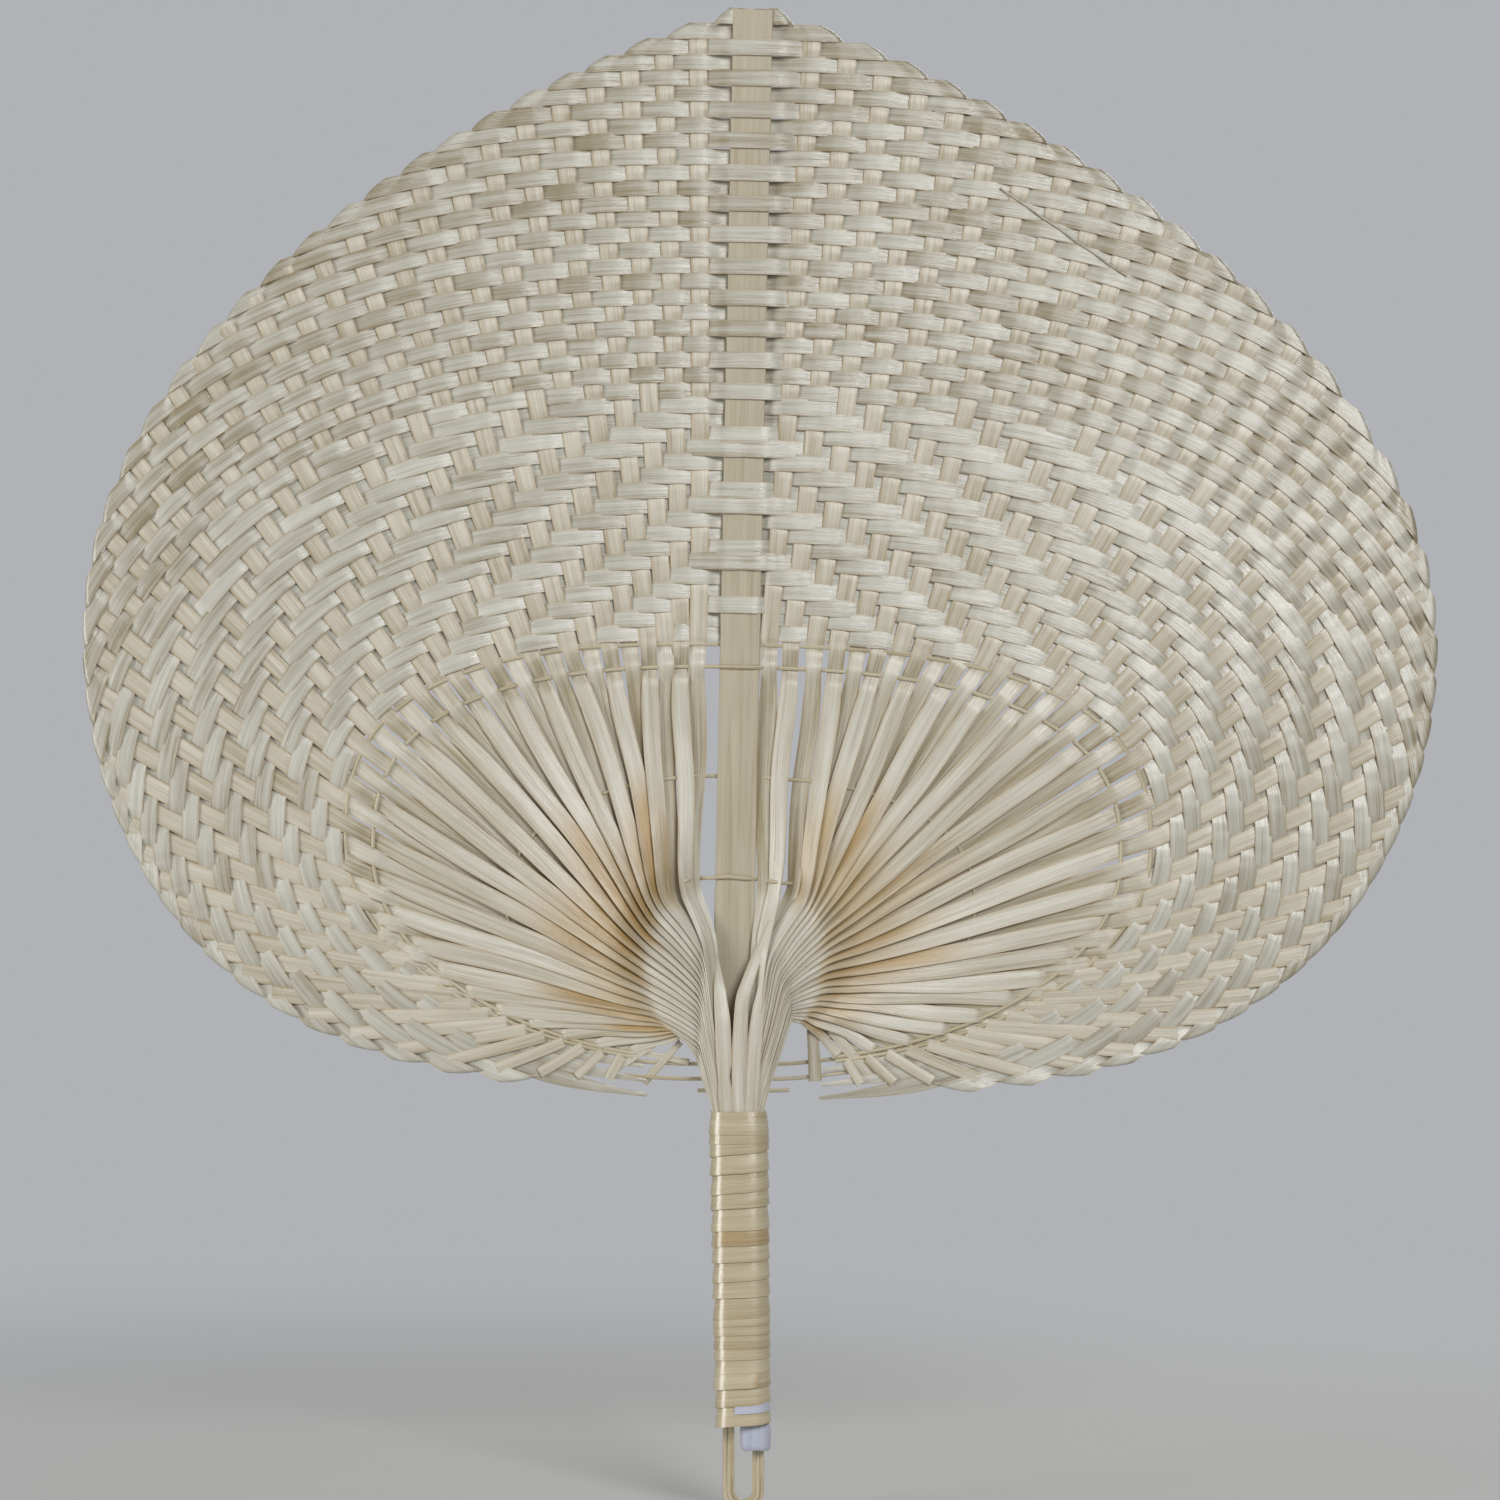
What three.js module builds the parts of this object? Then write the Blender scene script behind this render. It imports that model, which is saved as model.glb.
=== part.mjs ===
// Woven bamboo hand fan, in millimetres: X right, Y to the back, Z up, origin at the middle of the grip.
//
// The blade is laid out in its own flat frame: "across" is measured from the spine and "up" along it
// from the gather, where the ribs bend down into the handle. Both halves share one layout and differ
// only in reach. A rib is a lane of the layout, given by its share (0 beside the spine, 1 at the
// lowest edge). A weft is a band of equal distance from the window, the part left unwoven.
import * as THREE from 'three';

const CLEARANCE = 0.3;

// The rim: half a rounded gable above its widest level and half a rounded rectangle below it.
const LEFT_REACH = 157.6;
const RIGHT_REACH = 167.2;
const RIM_MIDDLE = 80;
const RIM_RISE = 152;
const RIM_DROP = 107.5;
const RIM_UPPER_POWER = 1.22;
const RIM_LOWER_POWER = 3.3;

// The window's edge, where the weaving starts.
const LEFT_WINDOW_REACH = 95.3;
const RIGHT_WINDOW_REACH = 101.2;
const WINDOW_MIDDLE = 32;
const WINDOW_RISE = 48.5;
const WINDOW_DROP = 54;
const WINDOW_UPPER_POWER = 2.7;
const WINDOW_LOWER_POWER = 2;

// The blade's place over the handle. It leans to the right by some degrees.
const BLADE_LEAN = 1.17;
const GATHER_ACROSS = -2.4;
const GATHER_UP = 71;

const SPINE_WIDTH = 9.6;
const SPINE_FOOT_WIDTH = 6.6;
const SPINE_THICKNESS = 1.8;
const SPINE_FOOT = -15;
const SPINE_FACE_FROM = 56;
const SPINE_FACE_TO = 71;

const SPLINT_THICKNESS = 0.45;
const RIBS_PER_SIDE = 10;
const RIB_GAP = 2.4;
const SPINE_TO_RIB = 3.2;
const RIB_FOCUS_ACROSS = 20;
const RIB_FOCUS_UP = -8;
const RIB_FOCUS_BLEND = 40;
const RIB_BEND = 0.12;
const LOWEST_RIB_SHARE = 0.9;

// The crest, an arc on each half where the ribs turn down, and the elbow that steers them to the grip.
const CREST_ACROSS = 19;
const CREST_UP = 3;
const CREST_HALF_WIDTH = 12;
const CREST_HALF_HEIGHT = 15;
const CREST_FROM = 60;
const CREST_TO = 262;
const CREST_DEPTH = 1.2;
const CREST_FORWARD = 0.6;
const ELBOW_ACROSS = 5.5;
const ELBOW_SPREAD = 4;
const ELBOW_UP = 8;
const ELBOW_FALL = 22;

// The wefts next to the window are woven closer than those near the tip.
const CLOSE_WEFTS = 9;
const CLOSE_PITCH = 6.8;
const OPEN_WEFTS = 11;
const NARROWEST_WEFT = 1;

// Thin rods. A hoop's place is the share of the way from the window's edge to the crest.
const ROD = 1;
const HOOP_EDGE = 0.02;
const HOOP_WINDOW = 0.11;
const HOOP_MIDDLE = 0.55;
const HOOP_INNER = 0.94;
const LOWER_ROD_REACH = [33, 30, 11];
const LOWER_ROD_PITCH = 3.3;

const GRIP_WIDTH = 13.7;
const GRIP_LENGTH = 77.2;
const GRIP_CORNER_POWER = 4;
const BUNDLE_DEPTH = 6.5;
const WRAP_TURNS = 19;
const WRAP_THICKNESS = 0.6;
const TAPE_ACROSS = 7.4;
const TAPE_DEEP = 8;
const TAPE_WIDTH = 4;
const TAPE_THICKNESS = 0.4;

const LOOP_SPLINT = 1.1;
const LOOP_DEPTH = 1.2;
const LOOP_DROP = 57.5;
const LOOP_TOP = -19;

// How finely curves are followed.
const WINDOW_STEPS = 48;
const LEVEL_STEPS = 300;
const HALVINGS = 40;
const WRAP_STEPS = 12;
const TAPE_STEPS = 24;
const LOOP_STEPS = 10;
const NECK_STATIONS = [0.8, 0.6, 0.4, 0.2];
const WINDOW_STATIONS = [0.7, 0];
const BLADE_STATIONS = [0.25, 0.5, 0.75, 1];

const FINISHES = {
  weft: { color: 0xded8c3, roughness: 0.5, metalness: 0 },
  rib: { color: 0xc6bc9d, roughness: 0.55, metalness: 0 },
  slat: { color: 0xbeaf91, roughness: 0.6, metalness: 0 },
  skin: { color: 0xc8b991, roughness: 0.35, metalness: 0 },
  tape: { color: 0xe0e4ea, roughness: 0.7, metalness: 0 },
};

const RAD = Math.PI / 180;
const SIDES = [
  { name: 'left', sign: -1, reach: LEFT_REACH, windowReach: LEFT_WINDOW_REACH },
  { name: 'right', sign: 1, reach: RIGHT_REACH, windowReach: RIGHT_WINDOW_REACH },
];

// The handle holds the bundled rib ends in front and the spine behind them, centred on the origin.
const coreDepth = BUNDLE_DEPTH + CLEARANCE + SPINE_THICKNESS;
const bladeY = (coreDepth - SPINE_THICKNESS) / 2;
const bundleHalfWidth = GRIP_WIDTH / 2 - WRAP_THICKNESS - CLEARANCE;
const bundleFront = CLEARANCE + SPINE_THICKNESS / 2;
const gripTop = GRIP_LENGTH / 2;
const wrapPitch = GRIP_LENGTH / (WRAP_TURNS + 1);

// The hairpins lie beside the spine's foot, level with its front and as wide as the core is there.
const loopY = bladeY - (SPINE_THICKNESS - LOOP_DEPTH) / 2;
const loopBack = (loopY + LOOP_DEPTH / 2) / (coreDepth / 2);
const loopHalf = bundleHalfWidth * (1 - loopBack ** GRIP_CORNER_POWER) ** (1 / GRIP_CORNER_POWER);

// How far in front of or behind the blade's middle plane a weft or a rod passes.
const weftOverRib = SPLINT_THICKNESS + CLEARANCE;
const weftOverSpine = SPINE_THICKNESS / 2 + CLEARANCE + SPLINT_THICKNESS / 2;
const rodOverRib = (SPLINT_THICKNESS + ROD) / 2 + CLEARANCE;
const rodOverSpine = (SPINE_THICKNESS + ROD) / 2 + CLEARANCE;
const rodOverCrest = CREST_FORWARD + (CREST_DEPTH + ROD) / 2 + CLEARANCE;

const tipUp = RIM_MIDDLE + RIM_RISE;
const closeReach = CLOSE_WEFTS * CLOSE_PITCH;
const openPitch = (tipUp - WINDOW_MIDDLE - WINDOW_RISE - closeReach) / OPEN_WEFTS;
const spineEdge = SPINE_WIDTH / 2;

const fan = new THREE.Group();

function add(name, geometry, finish) {
  const mesh = new THREE.Mesh(geometry, new THREE.MeshStandardMaterial(finish));
  mesh.name = name;
  fan.add(mesh);
}

// A strip through sections {a, b, y, depth}: a and b are its edges seen from the front.
function addStrip(name, sections, finish) {
  const last = sections.length - 1;
  const [first, second] = sections;
  const widthX = first.b.x - first.a.x;
  const widthZ = first.b.y - first.a.y;
  const alongX = second.a.x + second.b.x - first.a.x - first.b.x;
  const alongZ = second.a.y + second.b.y - first.a.y - first.b.y;
  const ordered = widthX * alongZ > widthZ * alongX ? sections : [...sections].reverse();
  const geometry = new THREE.BoxGeometry(1, 1, last, 1, 1, last);
  const corners = geometry.attributes.position;
  for (let i = 0; i < corners.count; i += 1) {
    const section = ordered[Math.round(corners.getZ(i) + last / 2)];
    const edge = corners.getX(i) < 0 ? section.a : section.b;
    corners.setXYZ(i, edge.x, section.y + corners.getY(i) * section.depth, edge.y);
  }
  geometry.computeVertexNormals();
  add(name, geometry, finish);
}

function bisect(low, high, isBefore) {
  for (let i = 0; i < HALVINGS; i += 1) {
    const middle = (low + high) / 2;
    if (isBefore(middle)) low = middle;
    else high = middle;
  }
  return low;
}

// From the blade's own frame to the fan's front view, on the left or right half.
function onBlade(side, point) {
  const lean = BLADE_LEAN * RAD;
  const across = side.sign * point.x;
  return new THREE.Vector2(
    GATHER_ACROSS + across * Math.cos(lean) + point.y * Math.sin(lean),
    GATHER_UP - across * Math.sin(lean) + point.y * Math.cos(lean),
  );
}

function insideRim(side, point) {
  const above = point.y > RIM_MIDDLE;
  const up = (point.y - RIM_MIDDLE) / (above ? RIM_RISE : RIM_DROP);
  const across = Math.abs(point.x) / side.reach;
  return across ** (above ? RIM_UPPER_POWER : RIM_LOWER_POWER) + up * up < 1;
}

// The window's edge on one half, from the spine round to the lowest point.
function windowEdge(side) {
  const points = [];
  for (let i = 0; i <= WINDOW_STEPS; i += 1) {
    const angle = (i / WINDOW_STEPS) * Math.PI;
    const upper = i * 2 < WINDOW_STEPS;
    const power = 2 / (upper ? WINDOW_UPPER_POWER : WINDOW_LOWER_POWER);
    const rise = upper ? WINDOW_RISE : -WINDOW_DROP;
    points.push(new THREE.Vector2(
      side.windowReach * Math.abs(Math.sin(angle)) ** power,
      WINDOW_MIDDLE + rise * Math.abs(Math.cos(angle)) ** power,
    ));
  }
  return new THREE.SplineCurve(points);
}

for (const side of SIDES) {
  side.edge = windowEdge(side);
  side.edgeLength = side.edge.getLength();
  side.edgePoints = side.edge.getSpacedPoints(LEVEL_STEPS);
  side.firstRib = spineEdge + SPINE_TO_RIB - RIB_GAP / 2;
  side.ribRoom = side.edgeLength * LOWEST_RIB_SHARE - side.firstRib;
  side.gapShare = RIB_GAP / 2 / side.ribRoom;
  side.spineShare = (spineEdge - side.firstRib) / side.ribRoom;
}

function windowPoint(side, share) {
  return side.edge.getPointAt((side.firstRib + share * side.ribRoom) / side.edgeLength);
}

// A point of a lane, a given distance out from the window's edge. Lanes fan out from the crest and
// bend a little upward.
function lanePoint(side, share, distance) {
  const start = windowPoint(side, share);
  const focus = RIB_FOCUS_ACROSS * Math.tanh((side.firstRib + share * side.ribRoom) / RIB_FOCUS_BLEND);
  const lean = Math.atan2(start.x - focus, start.y - RIB_FOCUS_UP);
  const turned = lean - RIB_BEND * RAD * Math.sin(lean) * distance / 2;
  return new THREE.Vector2(start.x + distance * Math.sin(turned), start.y + distance * Math.cos(turned));
}

function level(side, point) {
  return Math.min(...side.edgePoints.map((edge) => edge.distanceTo(point)));
}

function rimDistance(side, share) {
  return bisect(0, tipUp, (distance) => insideRim(side, lanePoint(side, share, distance)));
}

function rimLevel(side, share) {
  return level(side, lanePoint(side, share, rimDistance(side, share)));
}

function pointAtLevel(side, share, wanted) {
  const distance = bisect(0, tipUp, (tried) => level(side, lanePoint(side, share, tried)) < wanted);
  return lanePoint(side, share, distance);
}

// The crest is where each half's lanes turn down towards the handle.
function crestPoint(share) {
  const angle = (CREST_FROM + share * (CREST_TO - CREST_FROM)) * RAD;
  return new THREE.Vector2(
    CREST_ACROSS - CREST_HALF_WIDTH * Math.cos(angle),
    CREST_UP + CREST_HALF_HEIGHT * Math.sin(angle),
  );
}

function inWindow(side, share, towardsCrest) {
  return windowPoint(side, share).lerp(crestPoint(share), towardsCrest);
}

function handlePoint(side, share, z) {
  return new THREE.Vector2(side.sign * bundleHalfWidth * share, z);
}

// From the crest down to the top of the grip, every lane keeping its place among its neighbours.
function neckPoint(side, share, down) {
  const crest = onBlade(side, crestPoint(share));
  const turn = new THREE.Vector2(ELBOW_ACROSS + ELBOW_SPREAD * share, ELBOW_UP - ELBOW_FALL * share);
  const foot = handlePoint(side, share, gripTop);
  return new THREE.QuadraticBezierCurve(crest, onBlade(side, turn), foot).getPoint(down);
}

// Both edges of a lane's strip, drawn in by half the gap to its neighbours.
function laneEdges(low, high, gap) {
  const inset = Math.min(gap / 2, low.distanceTo(high) / 3) / low.distanceTo(high);
  return { a: low.clone().lerp(high, inset), b: high.clone().lerp(low, inset) };
}

const ribShare = (rib) => rib / RIBS_PER_SIDE;

function ribEdgesInWindow(side, rib, towardsCrest) {
  const gap = RIB_GAP + (2 * CLEARANCE - RIB_GAP) * towardsCrest ** 3;
  const low = onBlade(side, inWindow(side, ribShare(rib), towardsCrest));
  const high = onBlade(side, inWindow(side, ribShare(rib + 1), towardsCrest));
  return laneEdges(low, high, gap);
}

// A rib runs from the foot of the grip up the neck, over the crest and out to the rim. It is flat in
// the blade and stands on edge in the handle, filling its share of the bundle.
function addRib(side, rib) {
  const low = ribShare(rib);
  const high = ribShare(rib + 1);
  const middle = (low + high) / 2;
  const front = coreDepth / 2 * (1 - middle ** GRIP_CORNER_POWER) ** (1 / GRIP_CORNER_POWER);
  const back = bladeY - bundleFront;
  const bundle = { y: (back - front) / 2, depth: back + front };
  const sections = [];
  for (const z of [-gripTop, gripTop]) {
    const edges = laneEdges(handlePoint(side, low, z), handlePoint(side, high, z), CLEARANCE);
    sections.push({ ...edges, ...bundle });
  }
  for (const down of NECK_STATIONS) {
    const flat = 1 - down;
    sections.push({
      ...laneEdges(neckPoint(side, low, down), neckPoint(side, high, down), CLEARANCE * (1 + flat)),
      y: bundle.y + (bladeY - CREST_FORWARD - bundle.y) * flat ** 2,
      depth: bundle.depth + (CREST_DEPTH - bundle.depth) * flat,
    });
  }
  sections.push({ ...ribEdgesInWindow(side, rib, 1), y: bladeY - CREST_FORWARD, depth: CREST_DEPTH });
  for (const towardsCrest of WINDOW_STATIONS) {
    sections.push({ ...ribEdgesInWindow(side, rib, towardsCrest), y: bladeY, depth: SPLINT_THICKNESS });
  }
  const shares = [low + side.gapShare, high - side.gapShare];
  const reaches = shares.map((share) => rimDistance(side, share));
  for (const part of BLADE_STATIONS) {
    const [a, b] = shares.map((share, i) => onBlade(side, lanePoint(side, share, reaches[i] * part)));
    sections.push({ a, b, y: bladeY, depth: SPLINT_THICKNESS });
  }
  addStrip(`rib_${side.name}_${String(rib + 1).padStart(2, '0')}`, sections, FINISHES.rib);
}

// Which face of rib number "rib" a crossing piece passes: in front (-1) or behind (1). The spine is -1.
const faceAt = (row, rib) => ((row + rib) % 2 === 0 ? -1 : 1);

// The places along one half where a crossing piece changes layer: the edges of the spine and ribs.
function crossings(side, row, overRib, overSpine) {
  const places = [{ share: side.spineShare, y: faceAt(row, -1) * overSpine }];
  for (let rib = 0; rib < RIBS_PER_SIDE; rib += 1) {
    const y = faceAt(row, rib) * overRib;
    places.push({ share: ribShare(rib) + side.gapShare, y });
    places.push({ share: ribShare(rib + 1) - side.gapShare, y });
  }
  return places;
}

function layerAt(places, share) {
  const next = places.findIndex((place) => place.share >= share);
  if (next < 1) return next < 0 ? places.at(-1).y : places[0].y;
  const [from, to] = [places[next - 1], places[next]];
  return from.y + (to.y - from.y) * (share - from.share) / (to.share - from.share);
}

// How far from the window's edge a weft's inner side is.
function weftLevel(row) {
  return row < CLOSE_WEFTS ? row * CLOSE_PITCH : closeReach + (row - CLOSE_WEFTS) * openPitch;
}

// Half a weft, from the spine to where the rim leaves it no more than its narrowest width. The rim
// starts to cut into it at "clip".
function weftHalf(side, row) {
  const inner = weftLevel(row) + CLEARANCE / 2;
  const outer = weftLevel(row + 1) - CLEARANCE / 2;
  const places = crossings(side, row, weftOverRib, weftOverSpine);
  const lastShare = places.at(-1).share;
  const end = bisect(side.spineShare, lastShare, (share) => rimLevel(side, share) > inner + NARROWEST_WEFT);
  const clip = bisect(side.spineShare, end, (share) => rimLevel(side, share) > outer);
  const shares = places.map((place) => place.share).filter((share) => share < end);
  for (const extra of [clip, end]) {
    if (shares.every((share) => Math.abs(share - extra) * side.ribRoom > NARROWEST_WEFT)) shares.push(extra);
  }
  return shares
    .sort((low, high) => low - high)
    .map((share) => ({
      a: onBlade(side, pointAtLevel(side, share, inner)),
      b: onBlade(side, pointAtLevel(side, share, Math.min(outer, rimLevel(side, share)))),
      y: bladeY + layerAt(places, share),
      depth: SPLINT_THICKNESS,
    }));
}

function addWeft(row) {
  const [left, right] = SIDES.map((side) => weftHalf(side, row));
  addStrip(`weft_${String(row + 1).padStart(2, '0')}`, [...left.reverse(), ...right], FINISHES.weft);
}

// A thin rod crossing the ribs a given share of the way to the crest, in front or behind at each place.
function addHoop(name, towardsCrest, placesOn) {
  const [left, right] = SIDES.map((side) => {
    const half = ROD / 2 / windowPoint(side, 0.5).distanceTo(crestPoint(0.5));
    return placesOn(side).map(({ y }, i) => {
      const rib = Math.floor((i - 1) / 2);
      const [a, b] = [towardsCrest - half, towardsCrest + half].map((share) => {
        if (i === 0) return onBlade(side, new THREE.Vector2(spineEdge, inWindow(side, 0, share).y));
        return ribEdgesInWindow(side, rib, share)[i % 2 ? 'a' : 'b'];
      });
      return { a, b, y: bladeY + y, depth: ROD };
    });
  });
  addStrip(name, [...left.reverse(), ...right], FINISHES.rib);
}

const wovenThrough = (row) => (side) => crossings(side, row, rodOverRib, rodOverSpine);

// The innermost rod is short and lies in front of the spine and the first rib on each side.
const inFront = (side) => crossings(side, 0, rodOverRib, rodOverSpine)
  .slice(0, 3)
  .map((place) => ({ ...place, y: -rodOverCrest }));

// A short level rod behind the spine, between the two lower corners of the blade.
function addLowerRod(name, reach, z) {
  const sections = [-reach, reach].map((x) => ({
    a: new THREE.Vector2(x, z - ROD / 2),
    b: new THREE.Vector2(x, z + ROD / 2),
    y: bladeY + rodOverSpine,
    depth: ROD,
  }));
  addStrip(name, sections, FINISHES.rib);
}

// The slat runs from inside the grip to the tip. Its back has one plain face in the window.
function addSpine() {
  const layer = { y: bladeY, depth: SPINE_THICKNESS };
  const sections = [SPINE_FOOT, gripTop].map((z) => ({
    a: new THREE.Vector2(-SPINE_FOOT_WIDTH / 2, z),
    b: new THREE.Vector2(SPINE_FOOT_WIDTH / 2, z),
    ...layer,
  }));
  for (const up of [0, SPINE_FACE_FROM, SPINE_FACE_TO, tipUp]) {
    const [a, b] = SIDES.map((side) => onBlade(side, new THREE.Vector2(spineEdge, up)));
    sections.push({ a, b, ...layer });
  }
  addStrip('spine_slat', sections, FINISHES.slat);
}

// A point of a rectangle with rounded corners, as the grip and the tape have in section.
function roundedOutline(halfWidth, halfDepth, angle) {
  const power = 2 / GRIP_CORNER_POWER;
  const round = (value) => Math.sign(value) * Math.abs(value) ** power;
  return new THREE.Vector2(halfWidth * round(Math.cos(angle)), halfDepth * round(Math.sin(angle)));
}

// One long bamboo-skin strip wound round the bundle from top to bottom. Its turns fall from right to
// left across the front.
function addWrap() {
  const last = WRAP_TURNS * WRAP_STEPS;
  const geometry = new THREE.BoxGeometry(1, 1, last, 1, 1, last);
  const corners = geometry.attributes.position;
  const flatten = 1 / Math.cos(Math.PI / WRAP_STEPS);
  for (let i = 0; i < corners.count; i += 1) {
    const turn = (corners.getZ(i) + last / 2) / WRAP_STEPS;
    const grow = CLEARANCE + (corners.getX(i) < 0 ? 0 : WRAP_THICKNESS);
    const point = roundedOutline(bundleHalfWidth + grow, coreDepth / 2 + grow, -turn * 2 * Math.PI)
      .multiplyScalar(flatten);
    const z = gripTop - (turn + 0.5) * wrapPitch + corners.getY(i) * (wrapPitch - CLEARANCE);
    corners.setXYZ(i, point.x, point.y, z);
  }
  geometry.computeVertexNormals();
  add('grip_wrap', geometry, FINISHES.skin);
}

// White tape wound round the loop's right limbs, just below the end of the strip and level with its
// right and its back.
function addTape() {
  const angles = Array.from({ length: TAPE_STEPS }, (_, i) => i / TAPE_STEPS * 2 * Math.PI);
  const ring = (inset) => angles
    .map((angle) => roundedOutline(TAPE_ACROSS / 2 - inset, TAPE_DEEP / 2 - inset, angle));
  const shape = new THREE.Shape(ring(0));
  shape.holes.push(new THREE.Path(ring(TAPE_THICKNESS)));
  const geometry = new THREE.ExtrudeGeometry(shape, { depth: TAPE_WIDTH, bevelEnabled: false, steps: 1 });
  const back = coreDepth / 2 + CLEARANCE + WRAP_THICKNESS;
  geometry.translate(
    (GRIP_WIDTH - TAPE_ACROSS) / 2,
    back - TAPE_DEEP / 2,
    -gripTop - CLEARANCE - TAPE_WIDTH,
  );
  add('end_tape', geometry, FINISHES.tape);
}

// A hairpin of split bamboo hanging below the grip, its two ends bound in behind the bundle.
function addLoop(name, outerHalf) {
  const innerHalf = outerHalf - LOOP_SPLINT;
  const bend = loopHalf - LOOP_DROP;
  const place = (half, angle, z) => new THREE.Vector2(-half * Math.cos(angle), z - half * Math.sin(angle));
  const stations = [{ angle: 0, z: LOOP_TOP }];
  for (let i = 0; i <= LOOP_STEPS; i += 1) stations.push({ angle: i / LOOP_STEPS * Math.PI, z: bend });
  stations.push({ angle: Math.PI, z: LOOP_TOP });
  const sections = stations.map(({ angle, z }) => ({
    a: place(innerHalf, angle, z),
    b: place(outerHalf, angle, z),
    y: loopY,
    depth: LOOP_DEPTH,
  }));
  addStrip(name, sections, FINISHES.skin);
}

addSpine();
for (const side of SIDES) {
  for (let rib = 0; rib < RIBS_PER_SIDE; rib += 1) addRib(side, rib);
}
for (let row = 0; row < CLOSE_WEFTS + OPEN_WEFTS; row += 1) addWeft(row);
addHoop('hoop_edge', HOOP_EDGE, wovenThrough(0));
addHoop('hoop_window', HOOP_WINDOW, wovenThrough(1));
addHoop('hoop_middle', HOOP_MIDDLE, wovenThrough(0));
addHoop('hoop_inner', HOOP_INNER, inFront);
LOWER_ROD_REACH.forEach((reach, i) => {
  addLowerRod(`lower_rod_${i + 1}`, reach, gripTop + (LOWER_ROD_REACH.length - i) * LOWER_ROD_PITCH);
});
addWrap();
addTape();
addLoop('hang_loop_outer', loopHalf);
addLoop('hang_loop_inner', loopHalf - LOOP_SPLINT - CLEARANCE);

export default fan;
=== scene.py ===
"""Woven bamboo hand fan: every splint is a ribbon of its own, laid out in the frame of the CAD part."""
import math
from dataclasses import dataclass

import bpy
import numpy as np
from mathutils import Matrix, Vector


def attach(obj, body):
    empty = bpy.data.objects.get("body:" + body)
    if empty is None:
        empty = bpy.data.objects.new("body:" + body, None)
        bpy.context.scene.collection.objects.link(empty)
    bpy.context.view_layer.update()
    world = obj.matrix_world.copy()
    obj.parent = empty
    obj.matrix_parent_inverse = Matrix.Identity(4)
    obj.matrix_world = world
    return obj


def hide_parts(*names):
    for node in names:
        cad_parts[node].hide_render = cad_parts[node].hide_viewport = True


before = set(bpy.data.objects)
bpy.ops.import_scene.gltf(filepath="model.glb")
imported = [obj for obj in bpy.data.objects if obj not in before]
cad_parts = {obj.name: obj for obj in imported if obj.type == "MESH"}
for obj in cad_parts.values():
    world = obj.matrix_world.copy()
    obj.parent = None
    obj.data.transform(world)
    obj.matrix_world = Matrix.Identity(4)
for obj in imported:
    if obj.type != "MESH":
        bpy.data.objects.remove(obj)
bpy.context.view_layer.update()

chance = np.random.default_rng(20)

METRES = 0.001

# Sizes are in millimetres. The blade's own frame has u outwards from the spine and v up from the gather.
RIM_MIDDLE = 80
RIM_RISE = 152
RIM_DROP = 107.5
RIM_UPPER_POWER = 1.22
RIM_LOWER_POWER = 3.3
WINDOW_MIDDLE = 32
WINDOW_RISE = 48.5
WINDOW_DROP = 54
WINDOW_UPPER_POWER = 2.7
WINDOW_LOWER_POWER = 2
BLADE_LEAN = math.radians(1.17)
GATHER_ACROSS = -2.4
GATHER_UP = 71
BLADE_Y = 3.4

# The slat up the middle.
SLAT_WIDTH = 9.6
SLAT_FOOT_WIDTH = 6.6
SLAT_THICKNESS = 1.8
SLAT_FOOT = -15

# The lengthwise splints, or warps: they fan out along lanes, and gather in the crest.
WARPS = 44
RIBS = 10
PULL_FADE = 50
FIRST_WARPS = 3
LOWEST_RIB_SHARE = 0.9
LANE_FOCUS_ACROSS = 20
LANE_FOCUS_UP = -8
LANE_FOCUS_BLEND = 40
LANE_BEND = math.radians(0.12)
LANE_LENGTH = 245
CREST_ACROSS = 11
CREST_UP = 4.5
CREST_HALF_WIDTH = 10.8
CREST_HALF_HEIGHT = 17.5
CREST_FROM = 112
CREST_Y = 1.6
WARP_WIDTH = 4.3
SPLINT = 0.36

# The crosswise rows, or wefts: twill next to the window, then a plain weave.
TWILL_ROWS = 17
TWILL_PITCH = 3.4
PLAIN_ROWS = 25
ROWS_BEHIND_SLAT = 2
OPEN_CORNER_ROWS = 3
OPEN_CORNER_WARP = 33
OPEN_CORNER_STEP = 3

# The handle.
GRIP_WIDTH = 13.7
GRIP_DEPTH = 10.4
GRIP_LENGTH = 77.2
GRIP_SHIFT = -0.55
GRIP_LEAN = -0.0145
NECK_Y = -0.7
BUNDLE_SQUEEZE = 0.8

# How finely the blade is sampled: the window's edge, of which every third point is used, and the warps.
EDGE_POINTS = 1200
EDGE_SKIP = 3
GRID_STEP = 0.25

# A warp's end keeps its corners inside the rim.
RIM_SEARCH = 30
RIM_CLEARANCE = 0.8
LEAST_STRAIGHT = 0.4
MOST_SLIP = 2.3

grip_top = GRIP_LENGTH / 2
tip_up = RIM_MIDDLE + RIM_RISE
twill_reach = TWILL_ROWS * TWILL_PITCH
plain_pitch = (tip_up - WINDOW_MIDDLE - WINDOW_RISE - twill_reach) / PLAIN_ROWS
row_count = TWILL_ROWS + PLAIN_ROWS


def grip_axis(z):
    """X of the grip's axis at a height: the grip leans a little with the blade."""
    return GRIP_SHIFT + GRIP_LEAN * z


def row_level(row):
    """How far a row's middle is from the window's edge."""
    if row < TWILL_ROWS:
        return (row + 0.5) * TWILL_PITCH
    return twill_reach + (row - TWILL_ROWS + 0.5) * plain_pitch


row_levels = np.array([row_level(row) for row in range(row_count)])


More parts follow.
